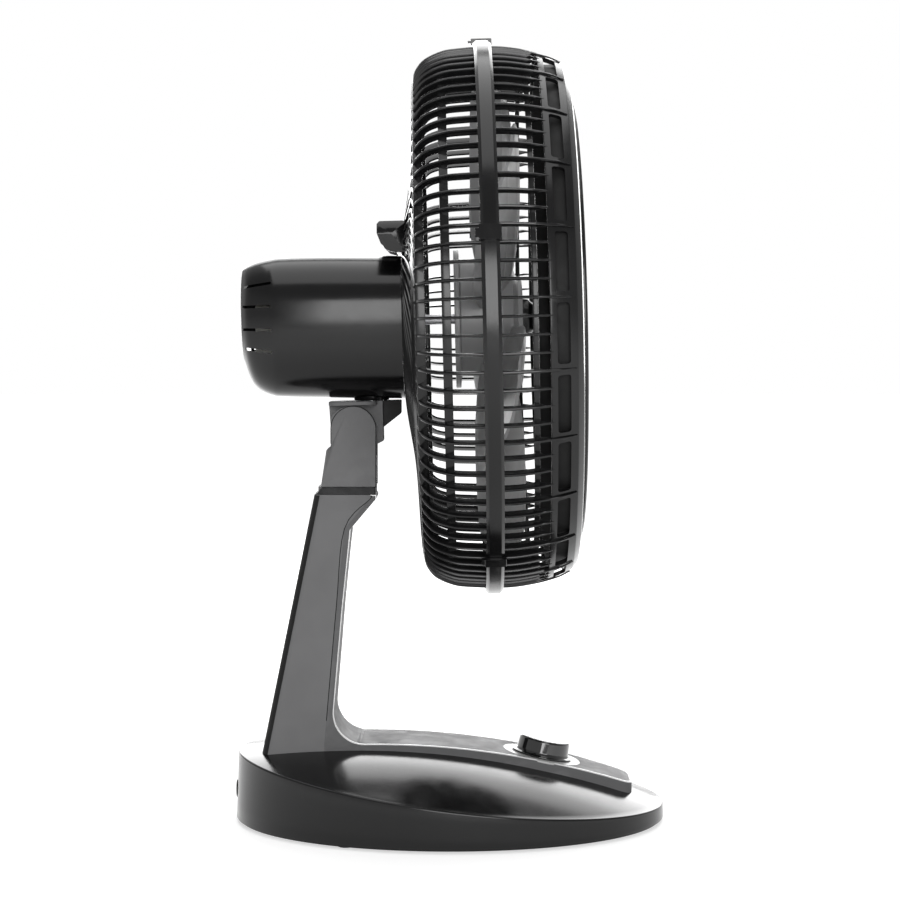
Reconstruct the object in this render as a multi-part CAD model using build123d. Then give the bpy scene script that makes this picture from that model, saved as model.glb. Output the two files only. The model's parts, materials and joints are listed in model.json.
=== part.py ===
"""Table air circulator: a caged fan head on an oval weighted base.

Frame: +X is the way the fan blows, +Z is up, and the origin is on the floor under the
middle of the oval base. All sizes are in millimetres.

The head is drawn in its own frame, with +X along the motor's axis and the origin in the
middle of the clamp ring, and then hung on the tilt pivot. There a point is (u, r): u along
the axis and r away from it.
"""

import os
from math import asin, cos, degrees, hypot, radians, sin, sqrt

from build123d import *


def arc_radius(reach, drop):
    """Radius of an arc that starts level and is lower by drop at a distance of reach."""
    return (reach**2 + drop**2) / (2 * drop)


# ---- base ---------------------------------------------------------------------------------
BASE_LENGTH = 342.0
BASE_WIDTH = 260.0
BASE_REAR = -BASE_LENGTH / 2
BASE_FRONT = BASE_LENGTH / 2
BASE_DRAFT = 2.0  # degrees
BASE_WALL = 2.5
SKIRT_BOTTOM = 3.2
CREST_X = BASE_REAR + 96.0  # where the top is highest
CREST_Z = 60.6
CLEAR_Z = CREST_Z + 15.0  # above the whole base
TIP_Z = 14.2  # height of the rim at the front
CREST_FRONT_RADIUS = arc_radius(BASE_FRONT - CREST_X, CREST_Z - TIP_Z)
CREST_REAR_RADIUS = 1050.0
CROWN_RADIUS = 1.346 * BASE_WIDTH  # across the base
PLATE_THICKNESS = 2.8
PLATE_LIP = 1.4  # part of the plate that stays below the skirt
PLATE_INSET = 2.5
PLATE_BOTTOM = SKIRT_BOTTOM - PLATE_LIP
PLATE_TOP = PLATE_BOTTOM + PLATE_THICKNESS
VENT_SPAN = (-62.0, -22.0)
VENT_WIDTH = 3.0
VENT_STEP = 12
FOOT_RADIUS = 6.5
FOOT_HOLE_RADIUS = 3.5
FOOT_PLACES = [(0.462 * BASE_REAR, 0.39 * BASE_WIDTH), (0.842 * BASE_FRONT, 0.188 * BASE_WIDTH)]
BOSS_RADIUS = 5.0
BOSS_PLACES = [(BASE_REAR + 59.0, 0.2 * BASE_WIDTH), (0.117 * BASE_FRONT, 0.354 * BASE_WIDTH),
               (0.655 * BASE_FRONT, 0.2 * BASE_WIDTH)]
BASE_SCREW_RADIUS = 1.6
BASE_SCREW_HEAD_RADIUS = 3.2
BASE_SCREW_HEAD_DEPTH = 1.4
BASE_SCREW_LENGTH = 11.0
BALLAST_RADIUS = 0.24 * BASE_WIDTH
BALLAST_THICKNESS = 8.0
BALLAST_X = 0.175 * BASE_FRONT
BALLAST_HOLE_RADIUS = 8.0
CORD_HOLE_RADIUS = 4.2
CORD_HOLE_Z = 24.0
CORD_BOSS_LENGTH = 9.0
CORD_BOSS_WALL = 3.0
CAPACITOR_X = BASE_REAR + 73.0
CAPACITOR_SIZE = (38.0, 20.0, 27.0)

# ---- neck's fork, from which the column's top is measured ---------------------------------
NECK_HEAD_RADIUS = 19.0
PIVOT_X = BASE_REAR + 93.0

# ---- column and control strip -------------------------------------------------------------
COLUMN_TOP = 261.8
COLUMN_REAR_FOOT_X = BASE_REAR + 23.0
COLUMN_REAR_TOP_X = PIVOT_X - NECK_HEAD_RADIUS - 10.7
COLUMN_FRONT_TOP_X = PIVOT_X + NECK_HEAD_RADIUS + 0.8
COLUMN_FRONT_FOOT_X = BASE_REAR + 77.0
COLUMN_FOOT_HALF_WIDTH = 35.0
COLUMN_TOP_HALF_WIDTH = 23.5
COLUMN_FOOT_Z = 60.0
COLUMN_WALL = 3.0
COLUMN_REAR_ROUNDING = 8.0
COLUMN_BURIED_Z = 30.0  # the column is drawn down to here and cut off by the base's top
PANEL_Z = 65.7  # top of the strip next to the column
PANEL_FLAT_END_X = BASE_REAR + 111.0
PANEL_END_X = BASE_FRONT - 26.0
PANEL_DROP = 33.1
PANEL_RADIUS = arc_radius(PANEL_END_X - PANEL_FLAT_END_X, PANEL_DROP)
PANEL_REAR_HALF_WIDTH = 35.0
PANEL_DIAL_HALF_WIDTH = 31.0
PANEL_END_HALF_WIDTH = 24.0
PANEL_CORNER_RADIUS = 11.0
FRONT_EDGE = [(COLUMN_FRONT_TOP_X, COLUMN_TOP), (COLUMN_FRONT_TOP_X, COLUMN_TOP - 2.8),
              (COLUMN_FRONT_TOP_X - 20.3, COLUMN_TOP - 26.8), (COLUMN_FRONT_TOP_X - 26.5, 0.667 * COLUMN_TOP),
              (COLUMN_FRONT_FOOT_X, PANEL_Z)]
SPINE_THICKNESS = 5.0
SPINE_FILLET = 25.0
TRIM_WIDTH = 1.3
TRIM_DEPTH = 0.8
WIRE_HOLE_X = (COLUMN_REAR_FOOT_X + COLUMN_FRONT_FOOT_X) / 2  # from the base into the hollow column
WIRE_HOLE_RADIUS = 9.0

# ---- dial, knob and switch ----------------------------------------------------------------
DIAL_X = BASE_FRONT - 97.3
DIAL_SLOPE = degrees(asin((DIAL_X - PANEL_FLAT_END_X) / PANEL_RADIUS))
DIAL_SINK = 0.5  # below the strip's top
DIAL_Z = PANEL_Z - PANEL_RADIUS * (1 - cos(radians(DIAL_SLOPE))) - DIAL_SINK
DIAL_RADIUS = 31.35
DIAL_THICKNESS = 1.5
KNOB_GAP = 0.3
KNOB_HEIGHT = 13.5
KNOB_RADIUS = 20.6
KNOB_FOOT_RADIUS = KNOB_RADIUS + 3.4
CAP_RADIUS = KNOB_RADIUS - 2.1
CAP_THICKNESS = 1.2
MARK_WIDTH = 1.4
SWITCH_SIZE = 28.0
SWITCH_DEPTH = 14.0
SWITCH_TOP = 10.2  # below the dial's face
TAB_PLACES = (-9, -3, 3, 9)
BUSH_RADIUS = 4.5
SHAFT_RADIUS = 3.0
SHAFT_FLAT = 0.8
SHAFT_FOOT = 2.0  # how far the shaft reaches into the switch
RUNNING_GAP = 0.05
PASS_GAP = 0.5

# ---- neck and tilt bracket ----------------------------------------------------------------
PIVOT_Z = COLUMN_TOP + 51.2
NECK_HALF_WIDTH = 20.0
NECK_BOTTOM = COLUMN_TOP + 6.2
GROOVE_DEPTH = 2.2
FORK_HALF_GAP = 12.0
FORK_FLOOR_RADIUS = NECK_HEAD_RADIUS + 2.3
TONGUE_HALF_WIDTH = FORK_HALF_GAP - 1.0
WASHER_RADIUS = 8.0
WASHER_THICKNESS = 0.9
PIN_RADIUS = 4.0
PIN_HALF_LENGTH = NECK_HALF_WIDTH - 3.0
REST_TILT = 1.38  # degrees, nose up
PLATFORM_THICKNESS = 3.0
PLATFORM_Z = PIVOT_Z + NECK_HEAD_RADIUS + 0.5 + PLATFORM_THICKNESS
PLATFORM_HALF_WIDTH = 23.0
PLATFORM_FRONT_X = PIVOT_X + 20.5
NOSE_HALF_WIDTH = 10.5
SWING_X = PIVOT_X + FORK_FLOOR_RADIUS - 5.3
POST_RADIUS = 6.0
POST_HEAD_RADIUS = 9.0
POST_DEPTH = 16.0
NECK_SCREW_RADIUS = 2.0
NECK_SCREW_REACH = 14.0

# ---- head ---------------------------------------------------------------------------------
RING_X = PIVOT_X + 109.9  # ring centre before the head is tilted
SHAFT_R = 4.0
STATOR_RADIUS = 42.0
HOUSING_WALL = 2.5
HOUSING_FRONT = -67.4
HOUSING_LENGTH = 130.2
HOUSING_HALF_WIDTH = STATOR_RADIUS + 10.0
HOUSING_LOW = -STATOR_RADIUS - 19.9
HOUSING_HIGH = STATOR_RADIUS + 8.4
HOUSING_MIDDLE = 4.1  # height of the widest line
HOUSING_UPPER_POWER = 2.2  # nearly round above that line, squarer below it
HOUSING_LOWER_POWER = 2.9
# share of the length, and of the half width and the depth and height at the front
HOUSING_STATIONS = [(0.0, 1.0, 1.0, 1.0), (0.25, 1.007, 0.976, 1.018), (0.5, 1.004, 0.948, 1.036),
                    (0.75, 0.975, 0.921, 1.034), (0.833, 0.935, 0.897, 1.01), (0.917, 0.848, 0.809, 0.966),
                    (1.0, 0.65, 0.48, 0.865)]
HOUSING_BODY_STATIONS = 4  # evenly spaced ones before the rounded rear end
SECTION_POINTS = 10  # steps round half a section
AXIS_Z = PLATFORM_Z + 1.5 - HOUSING_LOW
VENT_SLOTS = [(31.5, 7.6), (13.2, 0.3), (-5.4, -2.4), (-22.5, -7.6)]  # height at the front end, slope
VENT_SLOT_FRONT = -169.0
VENT_SLOT_HEIGHT = 1.8
COLLAR_RADIUS = 14.0
COLLAR_GAP = 0.3
SWING_BOSS_TOP = HOUSING_LOW + 13.3
TUBE_RADIUS = 22.0
BEARING_RADIUS = 9.0
STATOR_BORE = 0.548 * STATOR_RADIUS
STATOR_REAR = HOUSING_FRONT - 0.527 * HOUSING_LENGTH
STATOR_FRONT = HOUSING_FRONT - 0.22 * HOUSING_LENGTH
CUP_BACK = STATOR_REAR - 0.169 * HOUSING_LENGTH
CUP_WALL = 2.0
COIL_LENGTH = 9.0
GEARBOX_LENGTH = 0.2 * HOUSING_LENGTH
AIR_GAP = 0.4

# ---- cage ---------------------------------------------------------------------------------
GRILLE_RADIUS = 215.0
RIB_COUNT = 100
RIB_WIDTH = 2.2
RIB_DEPTH = 6.0
FLANGE_RADIUS = GRILLE_RADIUS + 2.2
FLANGE_INNER = GRILLE_RADIUS - 7.0
FLANGE_THICKNESS = 5.0
SPLIT_GAP = 0.15
SHOULDER = (-54.5, GRILLE_RADIUS - 23.5)
REAR_CURVE = [(-FLANGE_THICKNESS, GRILLE_RADIUS), (-31.0, GRILLE_RADIUS - 2.8), (-45.0, GRILLE_RADIUS - 8.8),
              (-52.0, GRILLE_RADIUS - 16.5), SHOULDER, (-56.0, GRILLE_RADIUS - 33.0)]
SHOULDER_HOOP = (-54.5, -47.5, GRILLE_RADIUS - 26.0, GRILLE_RADIUS - 22.0)
TIE_HOOP = (-35.5, -29.0, GRILLE_RADIUS - 12.0, GRILLE_RADIUS - 8.0)
FRONT_HOOP = (29.0, 33.0, GRILLE_RADIUS - 12.0, GRILLE_RADIUS - 7.5)
REAR_DISC_RADIUS = 62.0
REAR_DISC_THICKNESS = 2.5
DISH_CURVE = [SHOULDER, (-56.0, GRILLE_RADIUS - 35.0), (-59.2, 0.558 * GRILLE_RADIUS), (-65.0, 79.0),
              (-67.1, REAR_DISC_RADIUS - 2.0)]
DISH_RIB_DEPTH = 4.0
DISH_HOOP_RADIUS = 0.55 * GRILLE_RADIUS  # every other dish rib ends here
SPIRAL_TURN = 58.0  # degrees between the ends of a dish rib
SPIRAL_RADIUS = 220.0 / 215.0 * GRILLE_RADIUS  # of the dish rib's own arc, seen from behind

BAND_START = (41.0, GRILLE_RADIUS - 5.8)
BAND_END = (61.0, GRILLE_RADIUS - 13.0)
LIP_INNER = GRILLE_RADIUS - 28.5
BAND_LINE = [BAND_START, (51.0, GRILLE_RADIUS - 8.9), BAND_END, (65.2, GRILLE_RADIUS - 18.0),
             (66.5, GRILLE_RADIUS - 26.5), (64.0, LIP_INNER), (62.6, GRILLE_RADIUS - 20.0),
             (59.4, GRILLE_RADIUS - 15.6), (BAND_START[0], BAND_START[1] - 3.0)]
LONG_RIB_EVERY = 4
LONG_RIB_END = (60.0, BAND_END[1] + 1.6)
WINDOW_COUNT = 25
WINDOW_START = 46.0
WINDOW_END = 55.5
WINDOW_ANGLE = 12.4  # degrees of arc
WINDOW_CORNER = 2.5
RIM_RADIUS = LIP_INNER - 9.5
RIM_INNER = RIM_RADIUS - 3.0
RIM_BACK = 62.5
RIM_FRONT = 69.7
SPOKE_COUNT = 50
SPOKE_WIDTH = 5.0
SPOKE_THICKNESS = 2.4
BAR_WIDTH = 2.4
BAR_BACK = 64.6
BAR_FRONT = 68.6
BAR_SLANT = 26.0
FRONT_DISC_RADIUS = 38.0
MID_RING_RADIUS = 0.588 * RIM_RADIUS

RING_RADIUS = FLANGE_RADIUS + 2.4
RING_HALF_WIDTH = 7.5
RING_FLAT_HALF_WIDTH = 4.0
RING_SLOPE = 2.2  # how much lower the ring's sloping sides end
RING_WALL = 1.8
RING_LIP_RADIUS = GRILLE_RADIUS + 0.5
CLIP_COUNT = 5
CLIP_HALF_WIDTH = RING_HALF_WIDTH + 1.25
CLIP_LENGTH = 9.5
CLIP_RISE = 2.4

# ---- rotor and grip -----------------------------------------------------------------------
BLADE_COUNT = 6
BLADE_TIP = GRILLE_RADIUS - 31.0
BLADE_THICKNESS = 2.2
BLADE_MIDDLE = 7.0
HUB_RADIUS = 46.0
HUB_REAR = -26.0
HUB_FRONT = 28.0
# radius, chord, pitch in degrees, lag and camber of a blade's sections
BLADE_SECTIONS = [(HUB_RADIUS - 2.5, 40.0, 38.0, 0.0, 4.0),
                  (0.516 * BLADE_TIP, 0.457 * BLADE_TIP, 26.0, 4.0, 7.0),
                  (0.788 * BLADE_TIP, 0.609 * BLADE_TIP, 19.0, 12.0, 8.0),
                  (BLADE_TIP + 6.0, 0.641 * BLADE_TIP, 16.0, 24.0, 7.0)]
SHAFT_END = HUB_FRONT + 8.0

HANDLE_HALF_LENGTH = 47.0
HANDLE_WALL = 7.0
HANDLE_REAR = HOUSING_FRONT - 22.5
HANDLE_LOW = HOUSING_HIGH + 2.6
HANDLE_LIP = HANDLE_LOW + 15.2
HANDLE_TOP = HANDLE_LOW + 26.4


# ---- helpers ------------------------------------------------------------------------------
def side_face(points):
    """A face in the upright plane through the axis, from (x, z) points."""
    return Plane.XZ * make_face(Polyline(*points, close=True))


def slab(points, half_width):
    """A side outline thickened both ways across the fan."""
    return extrude(side_face(points), amount=half_width, both=True)


def turned(points):
    """A round piece from (u, r) points, turned about the X axis."""
    return revolve(side_face(points), Axis.X, 360)


def ring(u_start, u_end, inner, outer):
    return turned([(u_start, inner), (u_start, outer), (u_end, outer), (u_end, inner)])


def spun(shape, count, first=0.0):
    """Copies of a shape at even steps about the X axis."""
    return [Rot(first + 360.0 * i / count, 0, 0) * shape for i in range(count)]


def upright(x, y, bottom, top, radius):
    return Pos(x, y, bottom) * Cylinder(radius, top - bottom, align=(Align.CENTER, Align.CENTER, Align.MIN))


def block(low, high):
    size = [b - a for a, b in zip(low, high)]
    middle = [(a + b) / 2 for a, b in zip(low, high)]
    return Pos(*middle) * Box(*size)


def inset_line(points, depth):
    """The open line through points moved sideways by depth, to its right."""
    moved = []
    for i, (x, z) in enumerate(points):
        before = points[max(i - 1, 0)]
        after = points[min(i + 1, len(points) - 1)]
        dx, dz = after[0] - before[0], after[1] - before[1]
        length = hypot(dx, dz)
        moved.append((x + depth * dz / length, z - depth * dx / length))
    return moved


def tilted(shape):
    """Turns what rides on the tilt pivot to its rest angle."""
    return Pos(PIVOT_X, 0, PIVOT_Z) * Rot(0, -REST_TILT, 0) * Pos(-PIVOT_X, 0, -PIVOT_Z) * shape


def in_head(shape):
    """Takes a shape from the head's own frame to its place on the fan."""
    return tilted(Pos(RING_X, 0, AXIS_Z) * shape)


def on_dial(shape):
    """Takes a shape drawn on the dial's face, +Z outwards, to its place on the base."""
    return Pos(DIAL_X, 0, DIAL_Z) * Rot(0, DIAL_SLOPE, 0) * shape


# ---- base ---------------------------------------------------------------------------------
def crowned_block(drop):
    """Everything under the base's crowned top, lowered by drop."""
    half = BASE_WIDTH / 2 + 15
    crown = CROWN_RADIUS - drop
    top = CREST_Z - drop
    edge = top - crown + sqrt(crown**2 - half**2)
    arch = ThreePointArc((-half, edge), (0, top), (half, edge))
    sides = Polyline((half, edge), (half, -70), (-half, -70), (-half, edge))
    section = Pos(CREST_X, 0, 0) * (Plane.YZ * make_face([arch, sides]))
    front_axis = Axis((CREST_X, 0, CREST_Z - CREST_FRONT_RADIUS), (0, 1, 0))
    rear_axis = Axis((CREST_X, 0, CREST_Z - CREST_REAR_RADIUS), (0, -1, 0))
    front_angle = degrees(asin((BASE_FRONT - CREST_X) / CREST_FRONT_RADIUS)) + 4
    rear_angle = degrees(asin((CREST_X - BASE_REAR) / CREST_REAR_RADIUS)) + 2
    return revolve(section, front_axis, front_angle) + revolve(section, rear_axis, rear_angle)


def drafted_oval(inset, bottom, top):
    """The base's oval plan with its draft, smaller all round by inset."""
    def oval(z):
        lean = (z - SKIRT_BOTTOM) * sin(radians(BASE_DRAFT))
        return Pos(0, 0, z) * Ellipse(BASE_LENGTH / 2 - inset - lean, BASE_WIDTH / 2 - inset - lean)

    return loft([oval(bottom), oval(top)], ruled=True)


def base_outside():
    return drafted_oval(0, SKIRT_BOTTOM, CLEAR_Z) & crowned_block(0)


def base_inside():
    return drafted_oval(BASE_WALL, SKIRT_BOTTOM - 1, CLEAR_Z) & crowned_block(BASE_WALL)


def both_sides(places):
    """The given (x, y) places and their mirror places across the middle."""
    return [*places, *[(x, -y) for x, y in places]]


def cord_boss_place():
    return Pos(BASE_REAR + CORD_BOSS_LENGTH / 2 + 0.4, 0, CORD_HOLE_Z) * Rot(0, 90, 0)


def base_shell(outside, inside):
    places = both_sides(BOSS_PLACES)
    bosses = [upright(x, y, PLATE_TOP, CREST_Z, BOSS_RADIUS) & outside for x, y in places]
    cord_boss = (cord_boss_place() * Cylinder(CORD_HOLE_RADIUS + CORD_BOSS_WALL, CORD_BOSS_LENGTH)) & outside
    screw_top = PLATE_TOP + BASE_SCREW_LENGTH
    holes = [upright(x, y, PLATE_TOP - 1, screw_top, BASE_SCREW_RADIUS) for x, y in places]
    holes.append(cord_boss_place() * Cylinder(CORD_HOLE_RADIUS, CORD_BOSS_LENGTH * 3))
    holes.append(on_dial(Cylinder(BUSH_RADIUS + PASS_GAP, 40)))
    holes.append(upright(WIRE_HOLE_X, 0, CREST_Z / 2, CREST_Z + 5, WIRE_HOLE_RADIUS))
    return (outside - inside) + bosses + cord_boss - holes


def bottom_plate():
    """The plate under the shell: a tray inside the skirt and a thin lip below it."""
    lip = drafted_oval(PLATE_INSET, PLATE_BOTTOM, SKIRT_BOTTOM)
    tray = drafted_oval(BASE_WALL + 0.3, SKIRT_BOTTOM, PLATE_TOP)
    feet = [upright(x, y, 0, CLEAR_Z, FOOT_HOLE_RADIUS) for x, y in both_sides(FOOT_PLACES)]
    places = both_sides(BOSS_PLACES)
    screws = [upright(x, y, 0, CLEAR_Z, BASE_SCREW_RADIUS) for x, y in places]
    heads = [upright(x, y, 0, PLATE_BOTTOM + BASE_SCREW_HEAD_DEPTH, BASE_SCREW_HEAD_RADIUS + 0.3)
             for x, y in places]
    start, end = VENT_SPAN
    half = VENT_WIDTH / 2
    vents = [block((start, y - half, 0), (end, y + half, 20)) for y in range(-42, 43, VENT_STEP)]
    return lip + tray - (feet + screws + heads + vents)


def rubber_feet():
    feet = []
    for x, y in both_sides(FOOT_PLACES):
        pad = upright(x, y, 0, PLATE_BOTTOM, FOOT_RADIUS)
        pad = chamfer(pad.edges().group_by(Axis.Z)[0], 0.5)
        stem = upright(x, y, PLATE_BOTTOM - 0.5, PLATE_TOP, FOOT_HOLE_RADIUS)
        button = upright(x, y, PLATE_TOP, PLATE_TOP + 1.5, FOOT_HOLE_RADIUS + 1.2)
        feet.append(pad + stem + button)
    return Compound(feet)


def base_screws():
    seat = PLATE_BOTTOM + BASE_SCREW_HEAD_DEPTH
    screws = []
    for x, y in both_sides(BOSS_PLACES):
        head = upright(x, y, seat - BASE_SCREW_HEAD_DEPTH + 0.1, seat, BASE_SCREW_HEAD_RADIUS)
        cross = block((x - 1.8, y - 0.4, 0), (x + 1.8, y + 0.4, seat - 0.6))
        cross += block((x - 0.4, y - 1.8, 0), (x + 0.4, y + 1.8, seat - 0.6))
        screws.append(head - cross + upright(x, y, seat, seat + BASE_SCREW_LENGTH, BASE_SCREW_RADIUS))
    return Compound(screws)


def ballast():
    disc = upright(BALLAST_X, 0, PLATE_TOP, PLATE_TOP + BALLAST_THICKNESS, BALLAST_RADIUS)
    disc = chamfer(disc.edges().group_by(Axis.Z)[-1], 1.5)
    return disc - upright(BALLAST_X, 0, 0, 30, BALLAST_HOLE_RADIUS)


def capacitor():
    long, wide, tall = CAPACITOR_SIZE
    case = block((CAPACITOR_X, -40 - wide, PLATE_TOP), (CAPACITOR_X + long, -40, PLATE_TOP + tall))
    return fillet(case.edges().filter_by(Axis.Z), 3)


# ---- column and control strip -------------------------------------------------------------
def front_outline(inset):
    """The column seen from the front: wide at the foot, narrower at the top."""
    top = COLUMN_TOP_HALF_WIDTH - inset
    spread = (COLUMN_FOOT_HALF_WIDTH - COLUMN_TOP_HALF_WIDTH) / (COLUMN_TOP - COLUMN_FOOT_Z)
    foot = top + spread * COLUMN_TOP
    points = [(-foot, 0), (foot, 0), (top, COLUMN_TOP), (-top, COLUMN_TOP)]
    return extrude(Plane.YZ * make_face(Polyline(*points, close=True)), amount=200, both=True)


def panel_outline(inset):
    """The control strip seen from above, with rounded front corners."""
    end = PANEL_END_X - inset
    widths = (PANEL_REAR_HALF_WIDTH, PANEL_DIAL_HALF_WIDTH, PANEL_END_HALF_WIDTH)
    rear, dial, tip = (width - inset for width in widths)
    points = [(BASE_REAR + 11, rear), (COLUMN_FRONT_FOOT_X, rear), (DIAL_X, dial), (end, tip)]
    points += [(x, -y) for x, y in reversed(points)]
    plan = make_face(Polyline(*points, close=True))
    corners = plan.vertices().group_by(Axis.X)[-1]
    return extrude(fillet(corners, PANEL_CORNER_RADIUS - inset), amount=COLUMN_TOP + 10)


def seam_points():
    """Where the strip's cover meets the rear shell of the column."""
    return [(x - SPINE_THICKNESS, z) for x, z in FRONT_EDGE]


def strip_profile():
    """The side outline of the L: the column's front, the knee and the strip on the base."""
    reach = PANEL_END_X + 20 - PANEL_FLAT_END_X
    half = reach / 2
    end_z = PANEL_Z - PANEL_RADIUS + sqrt(PANEL_RADIUS**2 - reach**2)
    half_z = PANEL_Z - PANEL_RADIUS + sqrt(PANEL_RADIUS**2 - half**2)
    flat_end = (PANEL_FLAT_END_X, PANEL_Z)
    end = (PANEL_FLAT_END_X + reach, end_z)
    down = Polyline(*FRONT_EDGE, flat_end)
    along = ThreePointArc(flat_end, (PANEL_FLAT_END_X + half, half_z), end)
    seam = seam_points()
    back = Polyline(end, (end[0], 12), (seam[-1][0], 12), *reversed(seam), FRONT_EDGE[0])
    side = make_face([down, along, back])
    corner = side.vertices().sort_by_distance((*FRONT_EDGE[-1], 0))[0]
    return extrude(Plane.XZ * fillet(corner, SPINE_FILLET), amount=60, both=True)


def strip_outline(inset):
    return front_outline(inset) & panel_outline(inset)


def dial_pocket():
    deep = DIAL_THICKNESS + 20
    return on_dial(Pos(0, 0, deep / 2 - DIAL_THICKNESS) * Cylinder(DIAL_RADIUS + 0.1, deep))


def strip_trim(profile):
    """The thin bright edge that runs round the strip and up the column."""
    skin = profile - Pos(-TRIM_DEPTH, 0, -TRIM_DEPTH) * profile
    return (skin & strip_outline(0)) - strip_outline(TRIM_WIDTH) - dial_pocket()


def control_strip(strip, trim, outside):
    bush_hole = on_dial(Cylinder(BUSH_RADIUS + PASS_GAP, 40))
    return strip - trim - outside - dial_pocket() - bush_hole


def column_block(inset, top):
    """The column behind the strip's cover, with rounded rear corners."""
    seam = [(x - inset, min(z, top)) for x, z in seam_points()]
    if inset:
        seam = seam[1:]
    lean = (COLUMN_REAR_TOP_X - COLUMN_REAR_FOOT_X) / (COLUMN_TOP - CREST_Z)
    rear = [(COLUMN_REAR_TOP_X + inset - lean * (COLUMN_TOP - z), z) for z in (COLUMN_BURIED_Z, top)]
    solid = slab([*seam, (seam[-1][0], COLUMN_BURIED_Z), *rear], 60) & front_outline(inset)
    tall = (COLUMN_TOP - COLUMN_BURIED_Z) / 2
    edges = solid.edges().filter_by(lambda e: e.length > tall and e.center().X < WIRE_HOLE_X)
    return fillet(edges, COLUMN_REAR_ROUNDING - inset)


def lower_column(outside):
    solid = column_block(0, COLUMN_TOP)
    cavity = column_block(COLUMN_WALL, COLUMN_TOP - COLUMN_WALL)
    return solid - cavity - outside - neck_screw_holes()


def neck_screw_places():
    middle = (COLUMN_REAR_TOP_X + COLUMN_FRONT_TOP_X) / 2
    return [(middle, 10.0), (middle, -10.0)]


def neck_screw_holes():
    return [upright(x, y, COLUMN_TOP - 8, COLUMN_TOP + NECK_SCREW_REACH, NECK_SCREW_RADIUS)
            for x, y in neck_screw_places()]


def neck_screws():
    bottom = COLUMN_TOP - COLUMN_WALL
    screws = []
    for x, y in neck_screw_places():
        head = upright(x, y, bottom - 2.4, bottom, NECK_SCREW_RADIUS * 2)
        screws.append(head + upright(x, y, bottom, COLUMN_TOP + NECK_SCREW_REACH, NECK_SCREW_RADIUS))
    return Compound(screws)


def dial_plate():
    disc = Pos(0, 0, -DIAL_THICKNESS / 2) * Cylinder(DIAL_RADIUS, DIAL_THICKNESS)
    return on_dial(disc - Cylinder(BUSH_RADIUS + 0.2, 10))


def speed_switch():
    body = Pos(0, 0, -SWITCH_TOP - SWITCH_DEPTH / 2) * Box(SWITCH_SIZE, SWITCH_SIZE, SWITCH_DEPTH)
    body = fillet(body.edges().filter_by(Axis.Z), 3)
    bush_length = SWITCH_TOP - DIAL_THICKNESS + 0.9
    bush = Pos(0, 0, -SWITCH_TOP + bush_length / 2) * Cylinder(BUSH_RADIUS, bush_length)
    well = Pos(0, 0, -SWITCH_TOP / 2) * Cylinder(SHAFT_RADIUS + RUNNING_GAP, SWITCH_TOP * 2)
    tabs = [Pos(x, 0, -SWITCH_TOP - SWITCH_DEPTH - 2.5) * Box(0.8, 5, 5) for x in TAB_PLACES]
    return on_dial(body + bush - well + tabs)


def flatted_shaft():
    """The switch's shaft, flat on one side where the knob grips it."""
    length = SWITCH_TOP + KNOB_GAP + KNOB_HEIGHT - 4
    foot = Pos(0, 0, -SWITCH_TOP - SHAFT_FOOT)
    shaft = foot * Cylinder(SHAFT_RADIUS, length, align=(Align.CENTER, Align.CENTER, Align.MIN))
    return shaft - block((SHAFT_RADIUS - SHAFT_FLAT, -5, 1), (SHAFT_RADIUS + 1, 5, 40))


def knob_shaft():
    return on_dial(flatted_shaft())


def speed_knob():
    """A round knob that flares into a foot, with a shallow seat for its cap."""
    top = KNOB_GAP + KNOB_HEIGHT
    foot, seat = KNOB_GAP, top - CAP_THICKNESS
    outline = [(SHAFT_RADIUS, foot + 0.4), (KNOB_FOOT_RADIUS, foot), (KNOB_FOOT_RADIUS, foot + 1.2),
               (KNOB_RADIUS + 0.9, foot + 2.6), (KNOB_RADIUS, foot + 5), (KNOB_RADIUS - 0.4, top - 1.2),
               (KNOB_RADIUS - 1.6, top), (CAP_RADIUS + 0.1, top), (CAP_RADIUS + 0.1, seat), (0, seat),
               (0, foot + 0.4)]
    body = revolve(Plane.XZ * make_face(Polyline(*outline, close=True)), Axis.Z, 360)
    return on_dial(body - flatted_shaft())


def knob_cap():
    top = KNOB_GAP + KNOB_HEIGHT
    disc = Pos(0, 0, top - CAP_THICKNESS / 2 + 0.1) * Cylinder(CAP_RADIUS, CAP_THICKNESS + 0.2)
    disc = chamfer(disc.edges().group_by(Axis.Z)[-1], 0.5)
    mark = block((CAP_RADIUS - 6, -MARK_WIDTH / 2, top - 0.3), (CAP_RADIUS - 1.5, MARK_WIDTH / 2, top + 2))
    return on_dial(disc - mark)


# ---- neck and tilt bracket ----------------------------------------------------------------
def at_pivot(shape):
    """Lays an upright round shape across the fan on the tilt pivot."""
    return Pos(PIVOT_X, 0, PIVOT_Z) * Rot(90, 0, 0) * shape


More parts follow.
